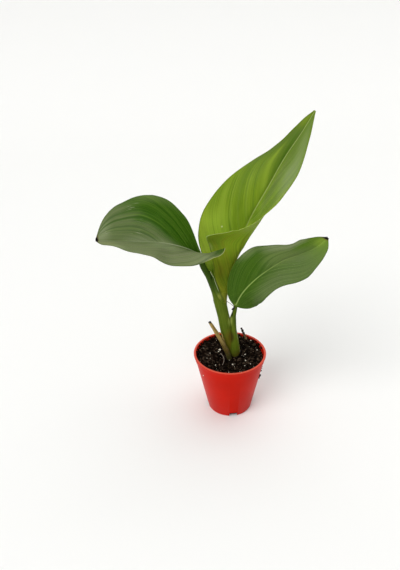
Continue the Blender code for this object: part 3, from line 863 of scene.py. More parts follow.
threads = {  # slot, radius, colours and points of each fine root or hair
    "rootThread": ("soil", 0.22, ("6A5E52", "A2968A"), [
        (-7.0, 0.6, 47.0), (-5.6, -1.6, 47.3), (-4.2, -5.4, 47.2), (-4.3, -9.0, 47.1),
        (-6.4, -13.4, 46.8)]),
    "dryHair": ("withered", 0.2, ("3E2C1C", "6A5038"), [
        (-2.4, -1.0, 94.0), (-1.0, -1.6, 93.3), (0.6, -2.1, 92.2), (1.8, -2.6, 91.2), (3.0, -3.2, 90.2)]),
    "witheredNub": ("withered", 0.55, ("0E0A08", "2A1E16"), [
        (3.2, -3.6, 90.2), (2.5, -4.2, 90.1), (1.9, -4.6, 90.0), (1.5, -4.8, 89.6), (1.2, -4.9, 89.0)]),
}


def makeThread(name, slot, radius, colours, points):
    onlySelect()
    bpy.ops.curve.primitive_nurbs_path_add()
    thread = bpy.context.object
    for point, where in zip(thread.data.splines[0].points, points):
        point.co = (*[c * mm for c in where], 1)
        point.radius = 1
    thread.data.bevel_depth = radius * mm
    thread.data.bevel_resolution = 2
    thread.data.use_fill_caps = True
    thread.data.resolution_u = 10
    bpy.ops.object.convert(target="MESH")
    material, tree, shader = newMaterial(name + "Fibre", Roughness=0.7)  # dry root fibre: matt
    cloud = put(tree, "TexNoise", [put(tree, "TexCoord").outputs["Object"], 800.0, 2.0])
    paint(tree, shader, put(tree, "Mix", [cloud, *colours], data_type="RGBA"), cloud, 0.4, 0.1)
    dress(thread, material)
    bpy.ops.object.shade_smooth()
    return finishPiece(thread, name)


flat = [(0, 0), (1, 0)]  # the curl or sweep of a half that has none
even = [(0, 0.5), (1, 0.5)]  # and where its curl would lie

# Each leaf is a midrib with two halves, by the same rule as the solids. A half's tables run from the
# stalk (0) to the tip (1): its width, its lift and curl in degrees, where across it the curl lies and how
# far that spreads, and how far its sections sweep towards the tip, in degrees
centreLeaf = {
    "across": 132, "along": 260,
    "midrib": [(-6.0, 0.5, 103.0), (-2.5, 2.5, 115.0), (5.0, 5.5, 132.5), (12.5, 8.0, 150.0),
               (26.0, 9.0, 175.5), (35.0, 7.0, 194.0), (45.0, 3.0, 212.0), (50.5, 0.0, 223.5)],
    "facing": [(0, (0.1, -1.0, 0.25)), (0.5, (0.05, -1.0, 0.3)), (1, (0.0, -1.0, 0.35))],
    "left": {
        "width": [(0, 3), (0.1, 15.8), (0.2, 27.6), (0.28, 31.5), (0.35, 32.7), (0.42, 31.2), (0.5, 28.6),
                  (0.56, 26), (0.62, 22.5), (0.68, 17.8), (0.75, 11.5), (0.8, 8.6), (0.9, 5.6), (0.96, 3.1),
                  (1, 0.5)],
        "lift": [(0, 20), (0.1, 16), (0.2, 14), (0.5, 12), (1, 15)],
        "curl": flat, "bend": even, "spread": even, "sweep": flat,
        "veins": {"reach": 2.4, "taper": 0.0, "run": 0.8},
    },
    "right": {
        "width": [(0, 14), (0.04, 19), (0.07, 20.2), (0.1, 20.8), (0.2, 27.6), (0.24, 32.6), (0.262, 36.2),
                  (0.285, 35), (0.33, 32.3), (0.42, 30), (0.5, 28), (0.58, 27.2), (0.65, 25), (0.7, 23.5),
                  (0.77, 20), (0.82, 15.1), (0.87, 9.8), (0.94, 4.2), (1, 0.5)],
        "lift": [(0, 12), (0.1, 42), (0.2, 38), (0.35, 45), (0.5, 68), (0.7, 68), (1, 30)],
        "curl": [(0, 162), (0.1, 126), (0.2, 130), (0.27, 128), (0.33, 102), (0.4, 71), (0.5, 34), (0.7, 0),
                 (1, 0)],
        "bend": [(0, 0.45), (0.1, 0.3), (0.2, 0.18), (0.35, 0.26), (0.5, 0.5), (1, 0.5)],
        "spread": [(0, 0.35), (0.1, 0.22), (0.2, 0.18), (0.35, 0.22), (0.5, 0.4), (1, 0.4)],
        "sweep": flat,
        "veins": {"reach": 2.0, "taper": 0.0, "run": 0.8},
    },
    "nicks": [(0.352, 0.9), (0.368, -1.7), (0.384, 0.6), (0.440, 0.2), (0.452, -0.5), (0.464, 0.4),
              (0.476, -0.4), (0.49, 0.2)],
    # side, where on the midrib, half width, from and to across the blade, dark (or pale) and depth; the
    # dark is painted shade along the fold, the pale partly the vein's colour and partly painted highlight
    "folds": [
        (-1, 0.050, 0.004, 0.2, 1.0, -0.6, 0.0), (-1, 0.040, 0.006, 0.2, 1.0, 0.5, 0.08),
        (-1, 0.235, 0.003, 0.1, 0.5, -0.8, 0.0), (-1, 0.216, 0.004, 0.4, 0.95, -0.6, 0.0),
        (-1, 0.212, 0.009, 0.1, 0.9, 0.7, 0.10), (-1, 0.300, 0.040, 0.3, 0.9, 0.35, 0.0),
        (-1, 0.128, 0.030, 0.3, 0.9, -0.5, 0.0), (-1, 0.386, 0.022, 0.1, 0.6, -0.45, 0.0),
        (-1, 0.440, 0.008, 0.02, 0.9, 0.6, 0.10), (-1, 0.428, 0.004, 0.1, 0.9, -0.6, 0.0),
        (-1, 0.540, 0.040, 0.08, 0.62, -0.8, 0.0), (-1, 0.730, 0.050, 0.02, 0.4, 0.7, 0.0),
        (-1, 0.640, 0.006, 0.05, 0.6, 0.6, 0.05), (-1, -0.06, 0.04, 0.5, 1.0, -0.3, 0.0),
        (1, 0.480, 0.040, 0.0, 0.35, 0.4, 0.0), (1, 0.300, 0.005, 0.1, 0.9, 0.4, 0.05),
        (1, 0.600, 0.006, 0.0, 0.6, 0.5, 0.06)],
    "veinStep": 0.074, "groove": 0.03, "keel": 0.9, "midGroove": 0.2,
}
leftLeaf = {
    "across": 120, "along": 170,
    "midrib": [(-19.6, -9.0, 134.5), (-26.0, -10.0, 138.7), (-32.5, -10.0, 141.5), (-43.6, -8.0, 143.6),
               (-60.6, -3.0, 143.2), (-76.0, 2.0, 142.0), (-92.3, 7.0, 140.8)],
    "facing": [(0, (-0.3, -0.75, 0.7)), (0.5, (0.0, -0.7, 0.75)), (1, (-0.1, -0.75, 0.65))],
    "left": {
        "width": [(0, 18), (0.08, 18.5), (0.2, 21), (0.35, 28.5), (0.5, 23.5), (0.65, 18), (0.8, 12.5),
                  (0.92, 6), (1, 0.5)],
        "lift": [(0, 50), (0.1, 50), (0.2, 36.8), (0.25, 36.8), (0.35, 49.5), (0.42, 49.8), (0.5, 48.8),
                 (0.58, 49.6), (0.65, 53), (0.8, 55.5), (0.9, 51), (1, 50)],
        "curl": flat, "bend": even, "spread": even,
        "sweep": [(0, -138), (0.2, -30), (0.5, 0), (1, 5)],
        "veins": {"reach": 1.6, "taper": 0.5, "run": 0.6},
    },
    "right": {
        "width": [(0, 3), (0.04, 14), (0.08, 23.2), (0.14, 29.5), (0.2, 32.3), (0.27, 33.2), (0.35, 32.7),
                  (0.5, 31.4), (0.65, 29.2), (0.75, 26.1), (0.82, 23.4), (0.88, 19.2), (0.93, 14.1),
                  (0.965, 8.6), (1, 0.5)],
        "lift": [(0, 20), (0.5, 20), (1, 10)],
        "curl": flat, "bend": even, "spread": even,
        "sweep": [(0, 50), (0.3, 29), (0.6, 5), (1, 5)],
        "veins": {"reach": 1.15, "taper": 2.6, "run": 0.14},
    },
    "folds": [
        (1, 0.232, 0.016, 0.16, 0.62, 1.0, 0.25), (1, 0.205, 0.009, 0.3, 0.62, -0.5, 0.0),
        (1, 0.160, 0.018, 0.58, 0.86, 0.7, 0.15), (1, 0.393, 0.011, 0.05, 0.28, 0.8, 0.2),
        (1, 0.340, 0.014, 0.27, 0.46, 0.7, 0.12), (1, 0.372, 0.007, 0.04, 0.4, -0.5, 0.0),
        (1, 0.092, 0.010, 0.2, 0.85, -0.4, 0.08), (1, 0.140, 0.014, 0.1, 0.5, 0.4, 0.08),
        (1, 0.300, 0.006, 0.1, 0.5, 0.3, 0.06), (1, 0.045, 0.008, 0.3, 0.8, -0.25, 0.05),
        (-1, 0.300, 0.012, 0.1, 0.8, 0.25, 0.08), (-1, 0.100, 0.01, 0.1, 0.8, 0.25, 0.08)],
    "veinStep": 0.09, "groove": 0.05, "keel": 0.8, "midGroove": 0.15,
}
rightLeaf = {
    "across": 96, "along": 180,
    "midrib": [(3.5, -4.0, 91.6), (8.0, -7.0, 103.3), (16.4, -9.0, 114.8), (26.8, -10.0, 124.0),
               (34.5, -10.5, 129.4), (44.9, -10.5, 133.5), (55.4, -9.5, 137.7), (64.1, -7.5, 144.0)],
    "facing": [(0, (0.2, -0.9, 0.5)), (0.5, (-0.1, -0.85, 0.55)), (1, (-0.1, -0.85, 0.5))],
    "left": {
        "width": [(0, 1), (0.08, 7.3), (0.2, 14.2), (0.3, 18), (0.4, 19.5), (0.5, 18.9), (0.6, 14.7),
                  (0.67, 11.6), (0.73, 10.9), (0.775, 11.2), (0.82, 10), (0.88, 8.3), (0.94, 5.4),
                  (1, 0.5)],
        "lift": [(0, 25), (0.2, 12), (0.35, 16), (0.5, 26), (0.65, 46), (0.8, 42), (1, 15)],
        "curl": flat, "bend": even, "spread": even, "sweep": flat,
        "veins": {"reach": 1.45, "taper": 0.0, "run": 0.8},
    },
    "right": {
        "width": [(0, 3), (0.015, 6.6), (0.035, 9.3), (0.07, 11.5), (0.12, 12.9), (0.2, 14.1), (0.3, 17.2),
                  (0.37, 18), (0.5, 17.7), (0.64, 18.6), (0.7, 17.6), (0.77, 15.2), (0.82, 12.3),
                  (0.9, 7.9), (0.95, 5.3), (1, 0.5)],
        "lift": [(0, 15), (0.15, 18), (0.3, 36), (0.45, 38), (0.62, 24), (0.8, 7), (1, 10)],
        "curl": flat, "bend": even, "spread": even, "sweep": flat,
        "veins": {"reach": 1.3, "taper": 0.0, "run": 0.8},
    },
    "folds": [
        (-1, 0.232, 0.008, 0.05, 0.9, -0.5, 0.0), (-1, 0.275, 0.009, 0.05, 0.8, -0.4, 0.04),
        (-1, 0.110, 0.008, 0.1, 0.9, -0.4, 0.05), (-1, 0.020, 0.010, 0.1, 0.9, -0.35, 0.05),
        (-1, 0.330, 0.016, 0.1, 0.9, 0.4, 0.05), (-1, 0.170, 0.02, 0.1, 0.9, 0.4, 0.0),
        (-1, 0.420, 0.010, 0.1, 0.8, 0.4, 0.06), (-1, 0.500, 0.008, 0.1, 0.8, -0.4, 0.05),
        (-1, -0.08, 0.02, 0.2, 0.9, 0.4, 0.0), (1, 0.375, 0.014, 0.02, 0.5, 0.7, 0.08),
        (1, 0.430, 0.010, 0.05, 0.6, 0.6, 0.06), (1, 0.405, 0.007, 0.1, 0.7, -0.4, 0.0),
        (1, 0.250, 0.012, 0.05, 0.8, 0.5, 0.05), (1, 0.200, 0.010, 0.1, 0.8, -0.35, 0.0),
        (1, 0.120, 0.016, 0.1, 0.7, 0.5, 0.05), (1, 0.520, 0.012, 0.1, 0.8, 0.4, 0.05),
        (1, 0.050, 0.012, 0.1, 0.8, -0.35, 0.0), (1, -0.06, 0.02, 0.2, 0.9, 0.4, 0.0)],
    "veinStep": 0.1, "groove": 0.04, "keel": 0.7, "midGroove": 0.2,
}
bladeShape = {  # what the three leaves share
    "thickness": 0.42,
    "thinEdge": 0.35,  # the share that is lost at the margin
    "steps": 64,  # how finely the section of a half is followed
    "nickHalf": 0.0065,
    "veinHalf": 0.10,
    "waves": 0.12, "waveSize": 9.0,
}


def bladeFrame(leaf, t):
    line = byLength(leaf["midrib"])
    run = unit(through(line, np.minimum(t + 0.001, 1)) - through(line, np.maximum(t - 0.001, 0)))
    facing = through([(s, np.array(v) / np.linalg.norm(v)) for s, v in leaf["facing"]], t)
    up = unit(facing - (facing * run).sum(1, keepdims=True) * run)
    return through(line, t), run, up, np.cross(run, up)


def bladeSurface(leaf, t, u):  # t from the stalk to the tip, u from the left margin -1 to the right 1
    middle, run, up, right = bladeFrame(leaf, t)
    points = np.zeros((len(t), len(u), 3))
    steps = bladeShape["steps"]
    share = (np.arange(steps) + 0.5) / steps
    start = np.zeros((len(t), 1))
    for key, side in (("left", -1), ("right", 1)):
        half = {what: through(table, t)[:, None] for what, table in leaf[key].items() if what != "veins"}
        width = np.maximum(half["width"], 0.3)
        lift, curl, sweep = [np.radians(half[what]) for what in ("lift", "curl", "sweep")]
        bend, spread = half["bend"], half["spread"]
        angle = lift + curl * smooth((share[None, :] - bend + spread) / (2 * spread))
        out = np.concatenate([start, np.cumsum(np.cos(angle), 1) / steps], 1) * width
        rise = np.concatenate([start, np.cumsum(np.sin(angle), 1) / steps], 1) * width
        outward = side * right * np.cos(sweep) + run * np.sin(sweep)
        for column, at in enumerate(u):
            if side * at < 0 or (at == 0 and side < 0):
                continue
            step = min(int(abs(at) * steps), steps - 1)
            rest = abs(at) * steps - step
            here = out[:, step] * (1 - rest) + out[:, step + 1] * rest
            high = rise[:, step] * (1 - rest) + rise[:, step + 1] * rest
            points[:, column] = middle + outward * here[:, None] + up * high[:, None]
    return points


def veinStart(veins, t, u):  # where on the midrib the side vein through (t, u) begins, found by halving
    low, high = np.full(t.shape, -1.5), t.copy()
    for _ in range(26):
        guess = (low + high) / 2
        reach = veins["reach"] * np.clip(1 - guess, 0.02, 9) ** veins["taper"]
        beyond = reach * (1 - np.exp(-(t - guess) / veins["run"])) > u
        low = np.where(beyond, guess, low)
        high = np.where(beyond, high, guess)
    return low


# What a blade keeps at each of its vertices for its material
leafValues = ("along", "across", "fromMidrib", "fromMargin", "veinPhase", "veinMask", "folds")


def makeBlade(leaf, upper, lower, name, node):
    sheet, order = newGrid(leaf["across"], leaf["along"])
    rows, columns = order.shape
    t = np.linspace(0, 1, rows)
    u = np.linspace(-1, 1, columns)
    points = bladeSurface(leaf, t, u)
    along = t[:, None] + 0 * u[None, :]
    across = 0 * t[:, None] + u[None, :]
    out = np.abs(across)
    for where, depth in leaf.get("nicks", ()):  # small waves in the right margin
        push = depth * bell(along, where, bladeShape["nickHalf"]) * smooth((across - 0.86) / 0.14)
        points[:, 1:] += unit(points[:, 1:] - points[:, :-1]) * push[:, 1:, None]
    onLeft, left, right = across < 0, leaf["left"], leaf["right"]
    widths = np.where(onLeft, through(left["width"], t)[:, None], through(right["width"], t)[:, None])
    start = np.where(onLeft, veinStart(left["veins"], along, out), veinStart(right["veins"], along, out))
    phase = start / leaf["veinStep"]
    number = np.floor(phase + 0.5)
    strength = np.abs(np.sin(number * 12.9898 + 78.2 + (across > 0) * 3.1)) ** 3  # uneven from vein to vein
    fade = band(out, 0.0, 0.08, 0.82, 0.16) * (1 - smooth((along - 0.6) / 0.3))
    mask = strength * bell(np.abs(phase - number), 0, bladeShape["veinHalf"]) * fade
    middle = out * widths
    taper = 1 - along
    height = -leaf["groove"] * mask - leaf["midGroove"] * bell(middle, 0, 0.5 + 0.9 * taper)
    folds = np.zeros_like(start)
    for side, begins, half, near, far, shade, depth in leaf["folds"]:  # single veins that stand out, with painted shade in the fold and a pale line of painted highlight
        line = bell(start, begins, half) * (across * side > 0)
        line *= band(out, near - 0.06, 0.12, far - 0.08, 0.16)
        folds += shade * line
        height -= depth * line
    waves = unevenness(points.reshape(-1, 3), bladeShape["waveSize"], leaf["veinStep"] * 50)
    height += bladeShape["waves"] * waves.reshape(rows, columns)
    points = points + gridNormals(points) * height[..., None]
    placeGrid(sheet, order, points)
    kept = (along, across, middle, (1 - out) * widths, phase, mask, folds)
    for key, values in zip(leafValues, kept):
        keepValue(sheet, order, key, values)
    thick = sheet.vertex_groups.new(name="thick")
    full = bladeShape["thickness"] + leaf["keel"]
    shares = (bladeShape["thickness"] * (1 - bladeShape["thinEdge"] * smooth((out - 0.9) / 0.1))
              + leaf["keel"] * taper ** 0.7 * bell(middle, 0, 0.7 + 1.1 * taper)) / full
    for index, share in zip(order.ravel(), shares.ravel()):
        thick.add([int(index)], float(share), "REPLACE")
    dress(sheet, upper, lower)
    onlySelect(sheet)
    bpy.ops.object.shade_smooth()
    modify(sheet, "SOLIDIFY", thickness=full * mm, offset=-1, vertex_group="thick", material_offset=1)
    sheet.vertex_groups.clear()
    return finishPiece(sheet, name, [node])


leafPattern = {  # what the materials of all leaves share
    "cloud": 45.0, "cloudShare": 0.35,
    "streakRun": 0.035, "veinletRun": 0.03,  # counts for each mm away from the midrib
    "flecks": (16.0, 0.45, 1.0),
    "faintFrom": 0.6, "faintFull": 0.95,  # streaks and veinlets grow fainter towards the tip
    "patchCore": 0.1, "speckCore": 0.3,
    "ribTaper": 0.25, "ribEdge": 1.3, "ribCore": 0.4,
}


# Living leaf blade: a waxy cuticle over parallel veins, so satin, with pale lines and a greyish bloom that
# is partly painted sheen
def makeLeafMaterial(name, look):
    material, tree, shader = newMaterial(
        name, Roughness=look["roughness"], IOR=1.45, Specular_IOR_Level=look["specular"],
        Subsurface_Weight=look["glow"], Subsurface_Radius=(0.6, 1.0, 0.2), Subsurface_Scale=0.0015)
    place = put(tree, "TexCoord").outputs["Object"]
    along, across, fromMidrib, fromMargin, veinPhase, veinMask, folds = [
        put(tree, "Attribute", attribute_name=key).outputs["Fac"] for key in leafValues]
    cloud = put(tree, "TexNoise", [place, leafPattern["cloud"], 3.0])
    core, taper = leafPattern["patchCore"], leafPattern["ribTaper"]
    colour = look["green"]
    for tint, down, out, base, most in look["zones"]:  # broad changes of green over the blade, some of them painted sheen, painted shade and painted light
        for value, times in ((along, down), (across, out), (cloud, leafPattern["cloudShare"])):
            base = put(tree, "Math", [value, times, base], operation="MULTIPLY_ADD")
        colour = coat(tree, colour, tint, (base, 0.0, 1.0, most, True))
    blade = put(tree, "CombineXYZ", [along, across])
    for tint, middle, size, most in look["patches"]:
        colour = spot(tree, colour, tint, blade, (*middle, 0.0), (*size, 1.0), core, most)
    # broad streaks that run with the veins, then veinlets drawn about 0.8 mm apart so that they still show
    fine = put(tree, "CombineXYZ", [veinPhase, fromMidrib])
    drawn = put(tree, "Mapping", {"Vector": fine, "Scale": (look["streaks"], leafPattern["streakRun"], 1.0),
                                  "Location": (look["streakShift"], 0.0, 0.0)})
    streaks = put(tree, "TexNoise", [drawn, 1.0, 3.0])
    faint = put(tree, "MapRange", [along, leafPattern["faintFrom"], leafPattern["faintFull"],
                                   1.0, look["tipShare"]])
    most = put(tree, "Math", [faint, look["streakShare"]], operation="MULTIPLY")
    colour = coat(tree, colour, look["streak"], (streaks, 0.48, 0.66, most))
    drawn = put(tree, "Mapping", {"Vector": fine,
                                  "Scale": (look["veinlets"], leafPattern["veinletRun"], 1.0)})
    veinlets = put(tree, "TexNoise", [drawn, 1.0, 3.0, 0.7])
    most = put(tree, "Math", [faint, look["veinletShare"]], operation="MULTIPLY")
    colour = coat(tree, colour, look["pale"], (veinlets, 0.48, 0.64, most))
    colour = coat(tree, colour, look["dark"], (veinlets, 0.5, 0.36, most))
    veins = put(tree, "Math", [veinMask, look["veinShare"]], operation="MULTIPLY")
    colour = put(tree, "Mix", [veins, colour, look["vein"]], data_type="RGBA")
    # folds: painted shade where positive; where negative, a pale line that is partly vein colour and partly
    # painted highlight
    colour = coat(tree, colour, look["streak"], (folds, 0.0, 1.0, look["foldShare"]))
    colour = coat(tree, colour, look["pale"], (folds, 0.0, -1.0, look["foldShare"]))
    # the midrib: a pale band that narrows towards the tip
    ribWidth = put(tree, "MapRange", [along, 0.0, 1.0, look["ribWidth"], look["ribWidth"] * taper])
    ribPlace = put(tree, "Math", [fromMidrib, ribWidth], operation="DIVIDE")
    ribShare = look["ribShare"]
    if "ribFades" in look:
        ribShare = put(tree, "MapRange", [along, *look["ribFades"], ribShare, ribShare * 0.25])
    ribLimit = (ribPlace, leafPattern["ribEdge"], leafPattern["ribCore"], ribShare, True)
    colour = coat(tree, colour, look["rib"], ribLimit)
    # the margin: a thin darker line of painted shade at the edge, pale where the blade's edge is young
    colour = coat(tree, colour, look["edge"], (fromMargin, look["edgeMm"], 0.3, look["edgeShare"]))
    if "paleEdge" in look:
        tint, side, start, end, wide = look["paleEdge"]
        colour = coat(tree, colour, tint, (along, start - 0.04, start), (along, end + 0.04, end),
                      (across, 0.0, side * 0.2), (fromMargin, wide, 0.1, 0.95, True))
    if "flecks" in look:  # short dry scratches that run with the veins
        drawn = put(tree, "Mapping", {"Vector": fine, "Scale": leafPattern["flecks"]})
        flecks = put(tree, "TexNoise", [drawn, 1.0, 2.0])
        for middle, size, least in look["flecks"]:
            dry = put(tree, "MapRange", [flecks, least, least + 0.05])
            colour = spot(tree, colour, look["fleck"], blade, (*middle, 0.0), (*size, 1.0), core, dry)
    for tint, where, size in look.get("specks", ()):
        colour = spot(tree, colour, tint, place, [c * mm for c in where], [c * mm for c in size],
                      leafPattern["speckCore"])
    if "burn" in look:  # withered black tip
        lean = put(tree, "Math", [cloud, 0.012, along], operation="MULTIPLY_ADD")
        lean = put(tree, "Math", [across, look["burnLean"], lean], operation="MULTIPLY_ADD")
        burn = look["burn"]
        colour = coat(tree, colour, look["scorched"], (lean, burn - 0.01, burn, 0.6))
        colour = coat(tree, colour, look["burnt"], (lean, burn, burn + 0.006))
    paint(tree, shader, colour, veinlets, 0.4, 0.2)
    return material


# zones: colour, what along, across and a constant add up to, and share
# patches: colour, place (along, across), size and share
# the yellow zone BCD046 and patch BCD84A are paler young tissue brightened with painted light; the grey
# patches 808E66, 7A8A52 and 6C7850 are painted sheen
youngLook = {
    "green": "8FA82C", "pale": "AEC444", "dark": "64821C", "vein": "A2B266", "rib": "A6B66C",
    "edge": "6A7C14", "edgeMm": 0.95, "edgeShare": 0.7, "roughness": 0.45, "glow": 0.12, "specular": 0.06,
    "zones": [
        ("5C7634", 3.0, 0.0, -1.75, 0.85), ("BCD046", -5.0, -0.6, 1.3, 0.8)],
    "patches": [
        ("808E66", (0.70, 0.7), (0.24, 0.55), 0.9), ("7A8A52", (0.84, 0.55), (0.16, 0.5), 0.7),
        ("6C8838", (0.54, 0.35), (0.2, 0.45), 0.8), ("7E9840", (0.62, -0.6), (0.2, 0.5), 0.5),
        ("55741E", (0.78, -0.1), (0.12, 0.3), 0.5), ("5C7450", (0.75, -1.0), (0.16, 0.25), 0.6),
        ("8AA02A", (0.96, -0.5), (0.09, 0.8), 0.7), ("5C7A2A", (0.68, -0.06), (0.22, 0.2), 0.6),
        ("6C7850", (0.64, 0.24), (0.26, 0.26), 0.75), ("5E7636", (0.54, 0.7), (0.14, 0.35), 0.65),
        ("6C8A20", (0.46, -0.95), (0.14, 0.35), 0.6), ("BCD84A", (0.28, -0.58), (0.17, 0.46), 0.85),
        ("587226", (0.8, 0.3), (0.12, 0.3), 0.5), ("5E7C22", (0.43, 0.1), (0.08, 0.22), 0.8)],
    "streak": "4E7418", "streaks": 1.6, "streakShift": 0.3, "streakShare": 0.25, "foldShare": 0.75,
    "veinlets": 12.0, "veinletShare": 0.45, "veinShare": 0.15, "ribWidth": 0.55, "ribShare": 0.85,
    "tipShare": 0.15,
    "specks": [("E4E8A8", (-5.4, 4.27, 149.3), (0.9, 0.9, 0.9))],
}
youngUnderLook = dict(
    youngLook, green="6E7A16", pale="868F26", dark="4A5608", vein="7C8A2A", rib="7C8838", edge="5A6A1C",
    paleEdge=("DCF290", 1, 0.28, 2.0, 1.0), roughness=0.5, specular=0.03, specks=(), tipShare=0.0,
    streak="7E7A1E", streakShare=0.5, foldShare=0.3, veinletShare=0.65,
    zones=[("7E9E22", 5.0, 0.3, -0.75, 0.9)],
    patches=[("4C6A14", (0.24, 0.85), (0.08, 0.3), 0.7), ("545408", (0.08, 0.74), (0.09, 0.2), 0.8),
             ("5A7A10", (0.15, 0.45), (0.12, 0.2), 0.6), ("A2B24C", (0.2, 0.1), (0.14, 0.2), 0.7),
             ("44680A", (0.065, 0.62), (0.065, 0.36), 0.95), ("8C9C60", (0.215, 1.0), (0.03, 0.13), 0.7)])
# the grey zones 6B764D and 838866 and the grey patches 98A07A, 8E9466, 8E9672, 8A9270 and 9EA67C are
# painted sheen over a faint real bloom; the dark zone 34500F and the dark patches 324F08 at the lobe's end
# and 34580A in a valley are painted shade
leftLook = {
    "green": "305404", "pale": "5E7E28", "dark": "1E4400", "vein": "244C04", "rib": "929C76",
    "edge": "3C560E", "edgeMm": 0.7, "edgeShare": 0.5, "roughness": 0.45, "glow": 0.05, "specular": 0.06,
    "zones": [
        ("6B764D", 5.0, -2.6, -0.85, 0.92), ("838866", 0.0, -2.5, -0.1, 0.95),
        ("34500F", -12.0, -4.0, -3.3, 0.9)],
    "patches": [("324F08", (0.0, -0.9), (0.12, 0.6), 0.95), ("98A07A", (0.34, -0.15), (0.18, 0.3), 0.8),
                ("8E9466", (0.82, -0.8), (0.22, 0.6), 0.6), ("34580A", (0.54, 0.5), (0.14, 0.17), 0.85),
                ("6A8A3C", (0.0, 0.5), (0.05, 0.9), 0.8), ("44600F", (0.62, 0.72), (0.2, 0.22), 0.5),
                ("8E9672", (0.95, 0.3), (0.14, 0.8), 0.7), ("667A42", (0.42, 1.0), (0.5, 0.24), 0.75),
                ("8A9270", (0.56, 0.0), (0.26, 0.2), 0.6), ("9EA67C", (0.68, -0.9), (0.14, 0.3), 0.6)],
    "streak": "234A04", "streaks": 1.6, "streakShift": 4.2, "streakShare": 0.3, "foldShare": 0.7,
    "veinlets": 14.0, "veinletShare": 0.6, "veinShare": 0.25, "ribWidth": 0.5, "ribShare": 0.85,
    "tipShare": 0.5,
    "paleEdge": ("A9AE72", -1, -1.0, 0.12, 0.6), "ribFades": (0.3, 0.45), "burn": 0.976, "burnLean": -0.02,
    "fleck": "A2AA84", "scorched": "6E6430", "burnt": "120D0A",
    "flecks": [((0.56, 0.45), (0.09, 0.08), 0.6), ((0.6, 0.19), (0.12, 0.09), 0.61),
               ((0.9, 0.3), (0.06, 0.14), 0.56), ((0.64, 0.8), (0.1, 0.12), 0.6)],
}
# the grey zone 6A7A4A and the grey patches 8E9670, 7C8C52, 66704E, 8C966C and 9CA47C are painted sheen over
# a faint real bloom
rightLook = dict(
    leftLook, green="3A5C0A", pale="6E8A3A", dark="2A4C06", vein="78984A", rib="92AA5A",
    zones=[("6A7A4A", 1.5, 0.9, -0.5, 0.8), ("6A8826", 3.6, -0.2, -2.7, 0.8)],
    patches=[("8E9670", (0.64, -0.85), (0.18, 0.5), 0.95), ("7C8C52", (0.62, -0.3), (0.22, 0.6), 0.8),
             ("2E4A08", (0.1, 0.55), (0.24, 0.7), 0.85), ("66704E", (0.45, 0.75), (0.26, 0.5), 0.6),
             ("5E8418", (0.78, -0.6), (0.12, 0.4), 0.5), ("8AA436", (0.95, -0.2), (0.1, 0.7), 0.6),
             ("7A9630", (0.0, -0.4), (0.06, 0.9), 0.85), ("3E4C2C", (0.22, 0.95), (0.17, 0.35), 0.6),
             ("8C966C", (0.43, -1.0), (0.13, 0.35), 0.6), ("9CA47C", (0.76, -1.0), (0.13, 0.45), 0.65),
             ("4A5636", (0.26, 0.72), (0.12, 0.3), 0.4)], edge="30480C", streak="244A04", streaks=2.2,
             streakShift=1.1, streakShare=0.35, foldShare=0.6, veinShare=0.25, veinletShare=0.5,
             ribWidth=0.5, ribShare=0.9, ribFades=(0.3, 0.65), burn=0.984, burnLean=-0.012,
             flecks=[((0.6, 0.1), (0.4, 1.0), 0.68)], paleEdge=("5E7A2A", -1, -1.0, 0.3, 0.5))
oldUnderLook = dict(
    leftLook, green="5A7040", pale="7A8E5C", vein="71875A", rib="8E9E68",
    zones=[("66794C", 1.0, 0.3, -0.2, 0.8)], patches=[], streak="52683A", streakShare=0.35, foldShare=0.3,
    roughness=0.55, veinletShare=0.2, flecks=[])

stageLook = {  # floor, light and camera
    "floor": "F4F4F2",
    "floorHalf": 1.6, "wallHeight": 2.4,  # in metres, as the cove is
    "cove": 0.7,
    "camera": (-21.28, -315.93, 276.67),
    "cameraRight": (0.9996, -0.0132, -0.0246),
    "cameraUp": (0.0279, 0.4724, 0.8810),
    "lens": 32.0,
    "keyLight": {"from": (-0.55, -0.55, 0.75), "strength": 1.6, "angle": 40.0},
    "topLight": {"from": (0.25, 0.35, 0.95), "strength": 0.85, "angle": 60.0},
    "world": 0.5,
}


def makeFloor():  # a sheet of paper that curves up behind, so that there is no horizon
    onlySelect()
    bpy.ops.mesh.primitive_plane_add(size=2 * stageLook["floorHalf"])
    floor = bpy.context.object
    floor.name = "floor"
    bpy.ops.object.mode_set(mode="EDIT")
    bpy.ops.mesh.select_mode(type="EDGE")
    bpy.ops.mesh.select_all(action="DESELECT")
    bpy.ops.object.mode_set(mode="OBJECT")
    for edge in floor.data.edges:
        edge.select = all(floor.data.vertices[v].co.y > 0 for v in edge.vertices)
    bpy.ops.object.mode_set(mode="EDIT")
    bpy.ops.mesh.extrude_region_move(TRANSFORM_OT_translate={"value": (0, 0, stageLook["wallHeight"])})
    bpy.ops.object.mode_set(mode="OBJECT")
    modify(floor, "BEVEL", width=stageLook["cove"], segments=12)
    bpy.ops.object.shade_smooth_by_angle(angle=radians(30))
    paper, tree, shader = newMaterial("paperSweep", Roughness=0.9)
    shader.inputs["Base Color"].default_value = hexColour(stageLook["floor"])
    dress(floor, paper)


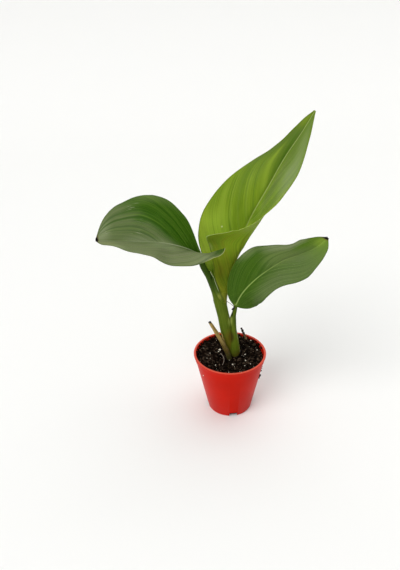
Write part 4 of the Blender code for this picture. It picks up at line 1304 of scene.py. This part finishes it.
def makeLightAndCamera():
    for name in ("keyLight", "topLight"):
        values = stageLook[name]
        light = bpy.data.lights.new(name, "SUN")
        light.energy = values["strength"]
        light.angle = radians(values["angle"])
        lamp = bpy.data.objects.new(name, light)
        lamp.rotation_euler = Vector(values["from"]).to_track_quat("Z", "Y").to_euler()
        bpy.context.collection.objects.link(lamp)
    world = bpy.data.worlds.new("studio")
    world.use_nodes = True
    background = world.node_tree.nodes["Background"]
    background.inputs["Color"].default_value = (1, 1, 1, 1)
    background.inputs["Strength"].default_value = stageLook["world"]
    scene = bpy.context.scene
    scene.world = world
    scene.view_settings.view_transform = "Standard"
    camera = bpy.data.objects.new("camera", bpy.data.cameras.new("camera"))
    camera.data.lens = stageLook["lens"]
    camera.data.sensor_width = 36.0
    camera.data.clip_start = 0.01
    right = Vector(stageLook["cameraRight"])
    up = Vector(stageLook["cameraUp"])
    turn = Matrix((right, up, right.cross(up))).transposed().to_4x4()
    camera.matrix_world = Matrix.Translation(Vector(stageLook["camera"]) * mm) @ turn
    bpy.context.collection.objects.link(camera)
    scene.camera = camera


print("pot and soil")
makePot(makePotPlastic())
makeSoil(makePeat())
crumbMaterial = makeCrumbMaterial()
makeCrumbs(crumbMaterial)
makeFibres(crumbMaterial)
makePerlite()
makeWallCrumbs(crumbMaterial)
print("stems")
stemGreen = makeStalkMaterial("livingStem")
straw = makeDeadMaterial()
makeStem(stemGreen)
makeStalk(rightSheath, makeStalkMaterial("rightSheath"), "rightStalk", ["right_stalk"])
makeStalk(centreFoot, makeStalkMaterial("innerSheath"), "centreStalk", ["centre_stalk"])
makeStalk(centreRib, makeStalkMaterial("paleMidrib"), "centreMidrib", ())
makeSheathWing(stemGreen, makeStalkMaterial("sheathMargin"))
makeStalk(deadStub, straw, "deadStalk", ["dead_stalk"])
makeStalk(tornShred, straw, "deadSheathShred", ())
makeStalk(twigShape, makeTwigMaterial(), "deadTwig", ["dead_twig"])
for name, row in threads.items():
    makeThread(name, *row)
print("leaves")
oldUnder = makeLeafMaterial("fullLeafUnderside", oldUnderLook)
makeBlade(centreLeaf, makeLeafMaterial("youngLeaf", youngLook),
          makeLeafMaterial("youngLeafUnderside", youngUnderLook), "centreLeaf", "centre_leaf")
makeBlade(leftLeaf, makeLeafMaterial("leftLeafBlade", leftLook), oldUnder,
          "leftLeaf", "left_leaf")
makeBlade(rightLeaf, makeLeafMaterial("rightLeafBlade", rightLook), oldUnder,
          "rightLeaf", "right_leaf")
print("stage")
makeFloor()
makeLightAndCamera()
